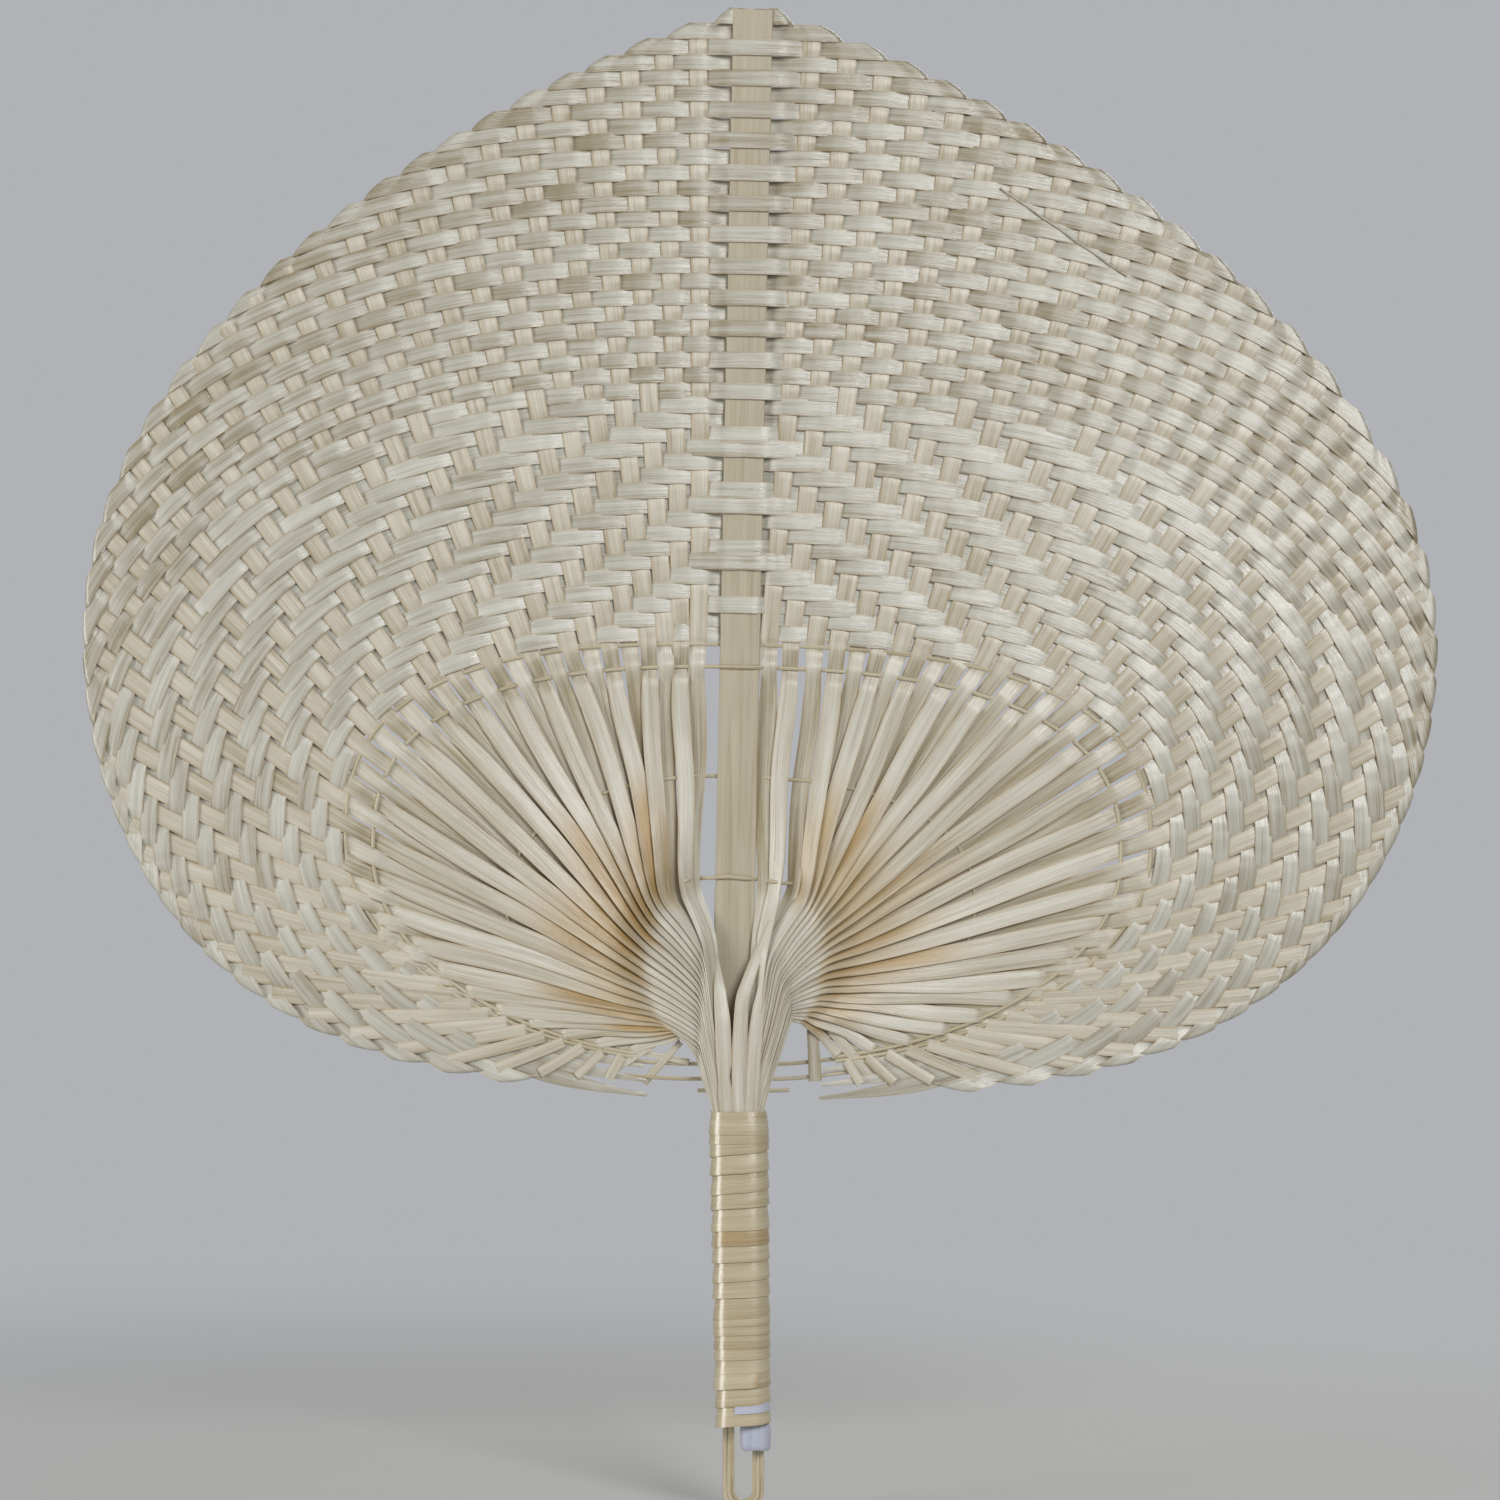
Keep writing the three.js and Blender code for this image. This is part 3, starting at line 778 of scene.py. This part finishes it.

# Tone: lighter in the weave, and lighter in the neck, a painted light on the splints that stand on edge
# there. Every other warp darker and the others lighter: a painted shade on the back layer, a painted light
# on the front one.
# Golden tint: a painted shade before the crest, where the splints crowd on edge, and a tint on the woven
# part.
WOVEN_RUN = 0.1
WOVEN_TONE = 0.16
WOVEN_WARMTH = 0.1
NECK_FROM = 0.97
NECK_RUN = 0.12
NECK_PAINTED_LIGHT = 0.2
NECK_EDGE_FADE = 0.8
LAYER_LIGHT_AND_SHADE = 0.17
LAYER_LIGHT_AND_SHADE_STOPS = [0, 0.04, 0.1, 0.2]
LAYER_LIGHTS_AND_SHADES = [0, -0.9, -0.9, 1]
CREST_SHADE = {"left": 1.25, "right": 0.95}
CREST_SHADE_RISE = 0.3
CREST_SHADE_FALL = 0.16
CREST_SHADE_WARPS = [2, 5]
CREST_SHADE_ACROSS = 0.8 - 0.3 * SECTION


def warp_heights(warp, levels):
    """How far behind the blade's middle a warp is, at given levels."""
    over = np.array([weft_is_over(row, warp) for row in range(row_count)])
    height = np.where(over, WARP_HEIGHT, -WARP_HEIGHT)
    slot = np.interp(levels, row_levels, np.arange(row_count))
    low = np.clip(np.floor(slot).astype(int), 0, row_count - 2)
    return height[low] + (height[low + 1] - height[low]) * ramp(slot - low)


def gather_paths(half):
    """Warps from the window's edge through the crest and the neck to the grip: warps x stations x 2."""
    warps = np.arange(0, WARPS + 2)
    share = np.maximum(warps - 0.5, 0) / WARPS
    window = [half.place(half.in_window(warps, t)) for t in WINDOW_STATIONS]
    crest = half.place(half.crest(warps))
    first, last = np.array(half.shoulder)
    shoulder = first + (last - first) * share[:, None] ** SHOULDER_POWERS
    turn = shoulder + (crest - shoulder) * TURN_SHARES
    mouth_x = grip_axis(grip_top) + half.sign * (half.mouth[0] + half.mouth[1] * share)
    mouth = np.stack([mouth_x, np.full(len(warps), grip_top)], axis=-1)
    neck = []
    for t in NECK_STATIONS:
        if t < NECK_TURN:
            s = t / NECK_TURN
            neck.append(crest * (1 - s) ** 2 + turn * 2 * s * (1 - s) + shoulder * s ** 2)
        else:
            s = (t - NECK_TURN) / (1 - NECK_TURN)
            across = smooth(s) * NECK_EASE + s * (1 - NECK_EASE)
            neck.append(shoulder + (mouth - shoulder) * np.array([across, s]))
    lines = np.stack(window + neck, axis=1)
    soft = slice(len(WINDOW_STATIONS) - 3, -1)
    for _ in range(NECK_SMOOTHING):
        eased_lines = (np.roll(lines, 1, axis=1) + 2 * lines + np.roll(lines, -1, axis=1)) / 4
        lines[:, soft] = eased_lines[:, soft]
    return lines


gathered = {half.name: gather_paths(half) for half in HALVES}


def warp_line(half, warp):
    """A warp's way from the window's edge to the grip, with a sway of its own in the window."""
    line = gathered[half.name][warp]
    sway = np.sin(chance.uniform(0, 2 * math.pi) + PROGRESS * chance.uniform(3, 7))
    sway = WARP_SWAY * sway * np.sin(np.clip(PROGRESS, 0, 1) * math.pi)
    return line + quarter_turn(tangents(line)) * sway[:, None]


def warp_lean(warp):
    """How far a warp stands on edge along that way."""
    lean = eased(PROGRESS, LEAN_STOPS, LEAN_DEGREES) * np.interp(warp, LEAN_WARPS, LEAN_SHARES)
    jitter = math.radians(chance.uniform(-LEAN_JITTER, LEAN_JITTER))
    return np.radians(lean) + jitter * smooth(PROGRESS / LEAN_JITTER_RUN)


def warp_depth(warp, side):
    """Y of a warp along that way. Side is 1 or -1 for the two layers."""
    layers = side * LAYERS
    behind_rods = smooth((warp - BEHIND_RODS_FROM) / BEHIND_RODS_RUN)
    layers[1:3] += (BEHIND_RODS - layers[1:3]) * behind_rods
    layers[0] = warp_heights(warp, np.array([0.0]))[0]
    return BLADE_Y + eased(PROGRESS, LAYER_STOPS, layers) + eased(PROGRESS, SINK_STOPS, SINK)


def warp_colours(half, warp, side, progress):
    """Tone and golden tint of a warp at its stations. The tone holds a painted light in the neck and
    painted light and shade on the two layers, the tint a painted shade on the edges and before the crest.
    """
    woven_part = 1 - smooth(progress / WOVEN_RUN)
    neck_part = smooth((progress - NECK_FROM) / NECK_RUN)
    # Lighter in the neck: a painted light on the splints that stand on edge there.
    tone = chance.uniform(0.3, 0.55) + WOVEN_TONE * woven_part + NECK_PAINTED_LIGHT * neck_part
    # The back layer of warps is painted darker and the front layer lighter: a painted shade and a painted
    # light.
    layer_light_and_shade = eased(progress, LAYER_LIGHT_AND_SHADE_STOPS, LAYER_LIGHTS_AND_SHADES)
    tone = tone + LAYER_LIGHT_AND_SHADE * side * layer_light_and_shade * (1 - neck_part)
    # A painted golden shade before the crest, where the splints crowd on edge, stronger towards the edge
    # that lies further back.
    crest_shade_from = chance.uniform(0.42, 0.66)
    crest_shade_to = chance.uniform(0.88, 1.04)
    crest_shade = smooth((progress - crest_shade_from) / CREST_SHADE_RISE) * (1 - smooth((progress - crest_shade_to) / CREST_SHADE_FALL))
    crest_shade = crest_shade * np.interp(warp, CREST_SHADE_WARPS, [0, 1]) * chance.uniform(0.7, 1.2) * CREST_SHADE[half.name]
    # Painted shade along the edges, fainter in the neck.
    edges = EDGE_SHADE_AND_TINT[None, :] * (1 - NECK_EDGE_FADE * neck_part)[:, None]
    warmth = np.maximum(crest_shade[:, None] * CREST_SHADE_ACROSS[None, :], edges)
    return tone[:, None], warmth + WOVEN_WARMTH * woven_part[:, None]


def add_warp(mesh, half, warp):
    """One warp from inside the grip through the neck, the crest, the window and the weave to the rim."""
    side = -1 if warp % 2 else 1
    line = warp_line(half, warp)
    lean = warp_lean(warp)
    y = warp_depth(warp, side)

    reach = max(half.rim_distance(warp), 1)
    distance = np.arange(reach, WOVEN_FROM, -WARP_STEP)
    woven = half.place(half.lane(warp, distance))
    level = np.interp(distance, half.distances, half.level(half.lane(warp, half.distances)))
    woven_y = BLADE_Y + warp_heights(warp, level)

    inside = np.array([grip_top - BUNDLE_TOP_DROP, BUNDLE_FOOT])
    inside_x = grip_axis(inside) + (line[-1, 0] - grip_axis(grip_top)) * BUNDLE_SQUEEZE
    inside_y = np.full(2, y[-1] * BUNDLE_SQUEEZE)
    flat = np.concatenate([woven, line, np.stack([inside_x, inside], axis=1)])
    depth = np.concatenate([woven_y, y, inside_y])
    path = np.stack([flat[:, 0], depth, flat[:, 1]], axis=1)[::-1]
    lean = np.concatenate([np.zeros(len(woven)), lean, np.full(2, lean[-1])])[::-1]
    progress = np.concatenate([np.zeros(len(woven)), PROGRESS, [2, 2]])[::-1]

    outward = sideways(path) * half.sign
    across = outward * np.cos(lean)[:, None] + FORWARD * np.sin(lean)[:, None]
    front = FORWARD * np.cos(lean)[:, None] - outward * np.sin(lean)[:, None]
    wide = WARP_WIDTH * np.interp(progress, WIDTH_STOPS, WIDTH_SHARES)
    wide = wide * np.interp(warp, [LOW_WARP, WARPS], [1, LOWEST_WIDTH])
    thick = np.interp(progress, [1, 2], [SPLINT, GRIP_SPLINT])
    tone, warmth = warp_colours(half, warp, side, progress)
    ribbon(mesh, path, across, front, wide / 2, thick, WARP_CROWN, tone, half.sign > 0, warmth)


# Flat strips on the front of the neck, from the top down as x, y, z and half the width.
NECK_STRIPS = {
    "left": [
        [
            (-8.6, 0.5, 74, 0.7), (-7.8, -1.9, 66, 1.5), (-7.4, -2.7, 54, 1.8), (-6.4, -2.8, 44, 1.7),
            (-5.3, -2.7, 37.5, 1.4),
        ],
        [
            (-6.6, 0.6, 76, 0.5), (-5.7, -2.6, 68, 1.4), (-4.9, -3.8, 60, 1.9), (-4.6, -3.9, 51, 1.9),
            (-4.6, -3.9, 47, 1.4), (-4.3, -3.7, 43, 1.8), (-4, -3.4, 37.5, 1.6),
        ],
    ],
    "right": [
        [
            (6.8, -0.4, 84, 0.9), (2.6, -1.6, 74, 1.3), (-0.3, -3.2, 66, 1.6), (-1, -3.7, 52, 1.9),
            (-0.8, -3.6, 37.5, 1.8),
        ],
        [
            (5.6, -1.4, 74, 0.6), (3.6, -2.8, 63, 1.5), (2.3, -3.5, 52, 1.9), (1.9, -3.6, 38, 1.6),
        ],
        [
            (9.8, -0.4, 70, 0.5), (7, -2, 60, 1.3), (5, -2.8, 49, 1.6), (4.2, -2.8, 43, 1.5),
            (3.3, -2.7, 37.5, 1.2),
        ],
    ],
}
STRIP_STATIONS = 12
STRIP_SMOOTHING = 8
STRIP_FOOT = -30

# Loose strips in the open corners by the neck: side, width, and the ends as x, y, z.
CORNER_STRIPS = [
    ("right", 3.2, (16.3, 2.4, 62), (17.3, 4.2, 45.5)),
    ("right", 3, (21, 3, 58), (31, 4.4, 46)),
    ("left", 2.2, (-17, 3.2, 57.5), (-33, 4.3, 47)),
    ("left", 2, (-15, 3.4, 55), (-24, 5.8, 45)),
    ("left", 1.6, (-36, 4.4, 55), (-13, 4.4, 50)),
]
CORNER_BOW = 0.5
CORNER_START = 0.75


def flat_strip(mesh, path, half_width, crown, tone):
    """A splint along a path that faces the front."""
    tangent = tangents(path)
    front = unit(FORWARD + tangent * tangent[:, 1:2])
    across = np.cross(front, tangent)
    # Its edges carry the painted shade for the gaps between splints.
    ribbon(mesh, path, across, front, half_width, SPLINT, crown, tone, warmth=EDGE_SHADE_AND_TINT)


def add_neck_strip(mesh, stops):
    stops = np.array(stops)
    place = np.linspace(0, len(stops) - 1, STRIP_STATIONS * len(stops))
    spread = np.arange(len(stops))
    spots = np.stack([np.interp(place, spread, stops[:, i]) for i in range(4)], axis=1)
    for _ in range(STRIP_SMOOTHING):
        spots[1:-1] = (spots[:-2] + 2 * spots[1:-1] + spots[2:]) / 4
    x, y, _, half_width = spots[-1]
    inside = [x * BUNDLE_SQUEEZE, y * BUNDLE_SQUEEZE, STRIP_FOOT, half_width]
    spots = np.concatenate([spots, [inside]])
    flat_strip(mesh, spots[:, :3], spots[:, 3], crown=0.28, tone=0.6)


def add_corner_strip(mesh, width, start, end):
    t = np.linspace(0, 1, 16)[:, None]
    path = np.array(start) * (1 - t) + np.array(end) * t
    path[:, 1] -= CORNER_BOW * np.sin(t[:, 0] * math.pi)
    half_width = width / 2 * (CORNER_START + (1 - CORNER_START) * t[:, 0])
    flat_strip(mesh, path, half_width, crown=0.1, tone=chance.uniform(0.4, 0.8))


for half in HALVES:
    for rib in range(RIBS):
        mesh = Mesh()
        for warp in range(1, WARPS + 1):
            if int((warp - 0.5) / WARPS * RIBS) == rib:
                add_warp(mesh, half, warp)
        if rib == 0:
            for stops in NECK_STRIPS[half.name]:
                add_neck_strip(mesh, stops)
        if rib == RIBS - 1:
            for side, width, start, end in CORNER_STRIPS:
                if side == half.name:
                    add_corner_strip(mesh, width, start, end)
        mesh.build(f"rib_{half.name}_{rib + 1:02d}", warp_material)

# Slat: its section as shares of half the width and half the thickness.
SLAT_SECTION = np.array([-1, -0.97, -0.9, 0, 0.9, 0.97, 1, 1, 0.95, -0.95, -1])
SLAT_FACE = np.array([0.6, 0.9, 1, 1.02, 1, 0.9, 0.6, -0.8, -1, -1, -0.8])
SLAT_JITTER = 0.05
SLAT_TIP_GAP = 0.4


def add_slat():
    mesh = Mesh()
    up = np.concatenate([[0], np.arange(4, tip_up - 0.5, 3), [tip_up - SLAT_TIP_GAP]])
    spine = HALVES[1].place(np.stack([np.zeros(len(up)), up], axis=1))
    foot = np.array([[0, SLAT_FOOT], [0, grip_top]])
    flat = np.concatenate([foot, spine])
    path = np.stack([flat[:, 0], np.full(len(flat), BLADE_Y), flat[:, 1]], axis=1)
    half_width = np.full(len(flat), SLAT_WIDTH / 2)
    half_width[: len(foot)] = SLAT_FOOT_WIDTH / 2
    half_width = half_width + chance.normal(0, SLAT_JITTER, len(half_width))
    across = sideways(path)
    side = SLAT_SECTION[None, :] * half_width[:, None]
    rings = path[:, None, :] + across[:, None, :] * side[..., None]
    rings[..., 1] -= SLAT_FACE * SLAT_THICKNESS / 2
    mesh.add(rings, lengths(path), side, tone=0.5, turned=True)
    mesh.build("spine_slat", slat_material)


add_slat()

# Rods across the window: how far towards the crest, and whether behind the slat.
ROD = 1
HOOPS = {"hoop_edge": (0.02, True), "hoop_window": (0.11, False), "hoop_middle": (0.55, True)}
HOOP_GAP = 0.05
HOOP_STEP_STOPS = [0.45, 1]


def add_rod(node, path, tone=0.5):
    mesh = Mesh()
    tube(mesh, path, ROD / 2, tone)
    mesh.build(node, rod_material)


def spine_crossing(towards):
    """Where a rod crosses the spine."""
    up = HALVES[1].in_window(1, towards)[1]
    return HALVES[1].place(np.array([0.0, up]))


def add_hoop(node, towards, behind):
    """A rod between the two layers of warps."""
    halves = []
    past_slat = (SLAT_THICKNESS + ROD) / 2 + HOOP_GAP
    for half in HALVES:
        warps = np.arange(0, WARPS + 0.5 + GRID_STEP / 2, GRID_STEP)
        flat = half.place(half.in_window(warps, towards))
        flat[0] = spine_crossing(towards)
        drop = eased(warps, HOOP_STEP_STOPS, [past_slat if behind else -past_slat, 0])
        halves.append(np.stack([flat[:, 0], BLADE_Y + drop, flat[:, 1]], axis=1))
    add_rod(node, joined(*halves))


for node, (towards, behind) in HOOPS.items():
    add_hoop(node, towards, behind)

# The short rod over the crest.
HOOP_INNER = 0.96
HOOP_INNER_WARPS = {"left": 2.4, "right": 3.6}
HOOP_INNER_STEP = 0.1
HOOP_INNER_RISE = 0.7
HOOP_INNER_STOPS = [0.5, 0.9, 1.2, 1.9, 2.4, 3]
OVER_SLAT = -SLAT_THICKNESS / 2 - ROD / 2 - 0.1
HOOP_INNER_DEPTHS = [OVER_SLAT, 0.8, 0.8, OVER_SLAT - 1.6, OVER_SLAT - 1.6, 0]


def add_hoop_inner():
    """Over the slat, behind the first warp of each half and over the second."""
    halves = []
    firsts = [half.place(half.in_window(1, HOOP_INNER)) for half in HALVES]
    spine = (firsts[0] + firsts[1]) / 2 + np.array([0, HOOP_INNER_RISE])
    for half in HALVES:
        warps = np.arange(0, HOOP_INNER_WARPS[half.name], HOOP_INNER_STEP)
        flat = half.place(half.in_window(np.maximum(warps, 1), HOOP_INNER))
        flat = spine + (flat - spine) * np.minimum(warps, 1)[:, None]
        y = BLADE_Y + eased(warps, HOOP_INNER_STOPS, HOOP_INNER_DEPTHS)
        halves.append(np.stack([flat[:, 0], y, flat[:, 1]], axis=1))
    add_rod("hoop_inner", joined(*halves))


add_hoop_inner()

# The rods behind the neck: half the length, and the height. Their ends bend up.
LOWER_RODS = [(33, 49.6), (30, 46), (11, 43.2)]
LOWER_ROD_GAP = 0.2
LOWER_ROD_STOPS = [-38, -12, 8, 34]
LOWER_ROD_RISE = [1.2, 0, 0, 2.2]

for i, (reach, up) in enumerate(LOWER_RODS):
    x = np.linspace(-reach, reach, 24)
    z = up + eased(x, LOWER_ROD_STOPS, LOWER_ROD_RISE)
    y = np.full(len(x), BLADE_Y + SLAT_THICKNESS / 2 + ROD / 2 + LOWER_ROD_GAP)
    add_rod(f"lower_rod_{i + 1}", np.stack([x, y, z], axis=1), tone=0.6)

# Grip: the heights of the lower edges of the wrap's turns, at the left and the right of the grip.
SEAMS = [
    (33.8, 35.3), (30.7, 31.4), (27.4, 29.8), (23, 25), (18.2, 20.6), (14.9, 16.6), (9.8, 11), (6.2, 7.4),
    (2.2, 3.6), (-2.6, -0.7), (-6.2, -5), (-11.5, -9.6), (-13.2, -11.5), (-14.9, -14.2), (-18.2, -17.3),
    (-20.9, -19.9), (-24.6, -23.1), (-28.2, -26.4), (-32.4, -30.5), (-37, -35.4),
]
GRIP_CORNER_POWER = 3
GRIP_TAPER = 0.3
TURN_STEP = 1 / 60

# The wound strip: the lower edge of a turn lies over the next turn. One turn is stained, and the edges
# carry a share of the painted edge shade.
STRIP_HALF = 2.7
STRIP_THICKNESS = 0.36
STRIP_ROLL = 0.12
STRIP_EDGE_SHARE = 0.3
STAIN_TURNS = [7, 7.05, 7.38, 7.44]
STAIN_WARMTH = [0, 0.5, 0.5, 0]

# A loose end of the strip: the part of its turn that it covers, and a painted shadow along its cut.
LOOSE_TURN = 17
LOOSE_PART = (0.19, 0.9)
LOOSE_LIFT = 0.1
CUT_PAINTED_SHADOW = 0.8
CUT_RUN = 0.03

# The white tape: a sleeve, with its rings as inset and fall, and an end between the last turns.
TAPE_ACROSS = 7.4
TAPE_DEEP = 8
TAPE_INSIDE_GRIP = 0.25
TAPE_TOP = 2.4
TAPE_RINGS = [
    (0.4, 0), (0.3, 0.6), (0.05, 1), (-0.05, 2.2), (0.08, 3.6), (0, 4.9), (0.2, 5.9), (0.6, 6.3), (0.6, 0),
]
TAPE_WAVE = 0.15
TAPE_WAVE_FROM = 3
TAPE_END_PART = (1.06, 1.28)
TAPE_END_DROP = 1.8


def rounded(half_width, half_depth, angle):
    """Points on a rounded oblong."""
    power = 2 / GRIP_CORNER_POWER
    cos = np.cos(angle)
    sin = np.sin(angle)
    x = half_width * np.sign(cos) * np.abs(cos) ** power
    y = half_depth * np.sign(sin) * np.abs(sin) ** power
    return np.stack([x, y], axis=-1)


def grip_ribbon(mesh, turn, low, half_width, proud, crown, tone, warmth=0):
    """A strip on the grip. Turn counts from the right-hand side and passes the front first."""
    middle = low + half_width
    outline = rounded(GRIP_WIDTH / 2 + proud, GRIP_DEPTH / 2 + proud, -turn * 2 * math.pi)
    outline[:, 0] *= 1 + GRIP_TAPER * middle / grip_top / GRIP_WIDTH * 2
    path = np.stack([outline[:, 0] + grip_axis(middle), outline[:, 1], middle], axis=1)
    along = tangents(outline)
    out = np.stack([-along[:, 1], along[:, 0], np.zeros(len(turn))], axis=1)
    out = out * np.sign((out[:, :2] * outline).sum(axis=1))[:, None]
    up = unit(np.array([0, 0, 1.0]) - STRIP_ROLL * out)
    ribbon(mesh, path, up, out, half_width, STRIP_THICKNESS, crown, tone, warmth=warmth)


def seam_height(turn):
    """The lower edge of the wrap: right at whole turns, left half-way between them."""
    heights = np.array([side for left, right in SEAMS for side in (right, left)])
    return np.interp(turn, np.arange(len(heights)) / 2, heights)


def by_loose_turn(part):
    """Stations along a part of a turn, counted from the loose turn."""
    return np.arange(LOOSE_TURN + part[0], LOOSE_TURN + part[1], TURN_STEP)


def add_wrap():
    mesh = Mesh()
    turn = np.arange(-0.5, len(SEAMS) - 0.5 + TURN_STEP / 2, TURN_STEP)
    low = np.minimum(seam_height(turn), grip_top - 2 * STRIP_HALF)
    knots = np.arange(-1, len(SEAMS) + 1, 0.5)
    tones = np.interp(turn, knots, chance.uniform(0.35, 0.65, len(knots)))
    stain = eased(turn, STAIN_TURNS, STAIN_WARMTH)
    warmth = np.maximum(stain[:, None], STRIP_EDGE_SHARE * EDGE_SHADE_AND_TINT)
    grip_ribbon(mesh, turn, low, STRIP_HALF, proud=-0.35, crown=0.05, tone=tones[:, None], warmth=warmth)
    loose = by_loose_turn(LOOSE_PART)
    low = seam_height(loose) + LOOSE_LIFT
    # A painted shadow at the cut end, fading along the strip.
    cut_shadow = CUT_PAINTED_SHADOW * (1 - smooth((loose - loose[0]) / CUT_RUN))[:, None]
    grip_ribbon(mesh, loose, low, half_width=1.75, proud=0.15, crown=0.05, tone=0.75, warmth=cut_shadow)
    mesh.build("grip_wrap", skin_material)


add_wrap()


def add_tape():
    """A sleeve round the loop's right limbs, and the end that shows between the last turns of the wrap."""
    mesh = Mesh()
    angle = np.linspace(0, 2 * math.pi, 49)[:-1]
    centre_x = (GRIP_WIDTH - TAPE_ACROSS) / 2 - TAPE_INSIDE_GRIP
    centre = np.array([centre_x, GRIP_DEPTH / 2 - TAPE_DEEP / 2])
    top = -grip_top + TAPE_TOP
    rings = []
    for inset, fall in TAPE_RINGS:
        ring = rounded(TAPE_ACROSS / 2 - inset, TAPE_DEEP / 2 - inset, angle)
        wave = TAPE_WAVE * np.sin(3 * angle) * (fall > TAPE_WAVE_FROM)
        rings.append(np.column_stack([ring + centre, top - fall + wave]))
    rings = np.array(rings + rings[:1])
    along = np.arange(len(rings)) * 1.5
    mesh.add(rings, along, across=angle * 4, tone=0.6, closed_ends=False)
    band = by_loose_turn(TAPE_END_PART)
    low = seam_height(band) - TAPE_END_DROP
    grip_ribbon(mesh, band, low, half_width=1.15, proud=0, crown=0.03, tone=0.6)
    mesh.build("end_tape", tape_material)


add_tape()

# The hanging loop: nested hairpins of split bamboo, each given as inset and wave.
LOOP_HALF = 4.877
LOOP_DROP = 57.5
LOOP_TOP = -19
LOOP_Y = 3.1
LOOP_STEP = 2.0
LOOP_WAVE_LENGTH = 5
HAIRPINS = {"hang_loop_outer": [(0.45, 0.1)], "hang_loop_inner": [(1.4, -0.15), (2.3, 0.2)]}


def add_hairpin(mesh, half, wave):
    bend = LOOP_HALF - LOOP_DROP
    angle = np.linspace(0, math.pi, 28)
    limb = np.arange(LOOP_TOP, bend, -LOOP_STEP)
    x = np.concatenate([np.full(len(limb), -half), -half * np.cos(angle), np.full(len(limb), half)])
    z = np.concatenate([limb, bend - half * np.sin(angle), limb[::-1]])
    y = LOOP_Y + wave * np.sin(z / LOOP_WAVE_LENGTH)
    path = np.stack([x, y, z], axis=1)
    out = sideways(path)
    back = np.tile([0, 1.0, 0], (len(x), 1))
    tone = chance.uniform(0.4, 0.7)
    ribbon(mesh, path, back, out, half_width=1, thickness=0.858, crown=0.12, tone=tone)


for node, pins in HAIRPINS.items():
    mesh = Mesh()
    for inset, wave in pins:
        add_hairpin(mesh, LOOP_HALF - inset, wave)
    mesh.build(node, skin_material)

# Stage, light and camera, in metres.
MIDDLE = (0, 0, 0.14)


def add_floor():
    """A pale disc that fades out towards its edge."""
    bpy.ops.mesh.primitive_circle_add(vertices=64, radius=0.7, fill_type="NGON", location=(0, 0, -0.0582))
    floor = bpy.context.object
    floor.name = "floor"
    material = bpy.data.materials.new("floor")
    nodes, links = with_nodes(material)
    shader = nodes["Principled BSDF"]
    fill(shader, base_color=srgb(205, 205, 203), roughness=0.9)
    coords = nodes.new("ShaderNodeTexCoord")
    length = nodes.new("ShaderNodeVectorMath")
    length.operation = "LENGTH"
    fade = nodes.new("ShaderNodeMapRange")
    fade.interpolation_type = "SMOOTHSTEP"
    fill(fade, from_min=0.1, from_max=0.65, to_min=1, to_max=0)
    links.new(coords.outputs["Object"], length.inputs[0])
    links.new(length.outputs["Value"], fade.inputs["Value"])
    links.new(fade.outputs["Result"], shader.inputs["Alpha"])
    floor.data.materials.append(material)


add_floor()


def add_lamp(name, place, size, energy):
    """A square lamp that points at the middle of the fan."""
    data = bpy.data.lights.new(name, "AREA")
    data.shape = "SQUARE"
    data.size = size
    data.energy = energy
    lamp = bpy.data.objects.new(name, data)
    lamp.location = place
    lamp.rotation_mode = "QUATERNION"
    lamp.rotation_quaternion = (Vector(MIDDLE) - Vector(place)).to_track_quat("-Z", "Y")
    bpy.context.collection.objects.link(lamp)


add_lamp("key", place=(0.5, -1.3, 0.66), size=0.5, energy=11.6)
add_lamp("fill", place=(-1.05, -0.6, 0.2), size=0.55, energy=7)
add_lamp("back", place=(0.4, 1.1, 0.8), size=0.9, energy=8)


def add_world():
    """Dim white light from all round, and a plain grey where it is seen or mirrored."""
    world = bpy.data.worlds.new("studio")
    nodes, links = with_nodes(world)
    bpy.context.scene.world = world
    ambient = nodes["Background"]
    fill(ambient, color=(1, 1, 1, 1), strength=0.12)
    seen = nodes.new("ShaderNodeBackground")
    fill(seen, color=srgb(176, 178, 182))
    ray = nodes.new("ShaderNodeLightPath")
    choose = nodes.new("ShaderNodeMixShader")
    sees = ray.outputs["Is Camera Ray"]
    for kind in ("Is Glossy Ray", "Is Transmission Ray"):
        either = nodes.new("ShaderNodeMath")
        either.operation = "MAXIMUM"
        links.new(sees, either.inputs[0])
        links.new(ray.outputs[kind], either.inputs[1])
        sees = either.outputs["Value"]
    links.new(sees, choose.inputs["Fac"])
    links.new(ambient.outputs["Background"], choose.inputs[1])
    links.new(seen.outputs["Background"], choose.inputs[2])
    links.new(choose.outputs["Shader"], nodes["World Output"].inputs["Surface"])


add_world()

camera_data = bpy.data.cameras.new("camera")
camera_data.lens = 120
camera_data.sensor_width = 36
camera = bpy.data.objects.new("camera", camera_data)
camera.location = (0.0016, BLADE_Y * METRES - 1.2, 0.125)
camera.rotation_euler = (math.pi / 2, 0, 0)
bpy.context.collection.objects.link(camera)
bpy.context.scene.camera = camera
bpy.context.scene.view_settings.view_transform = "Standard"
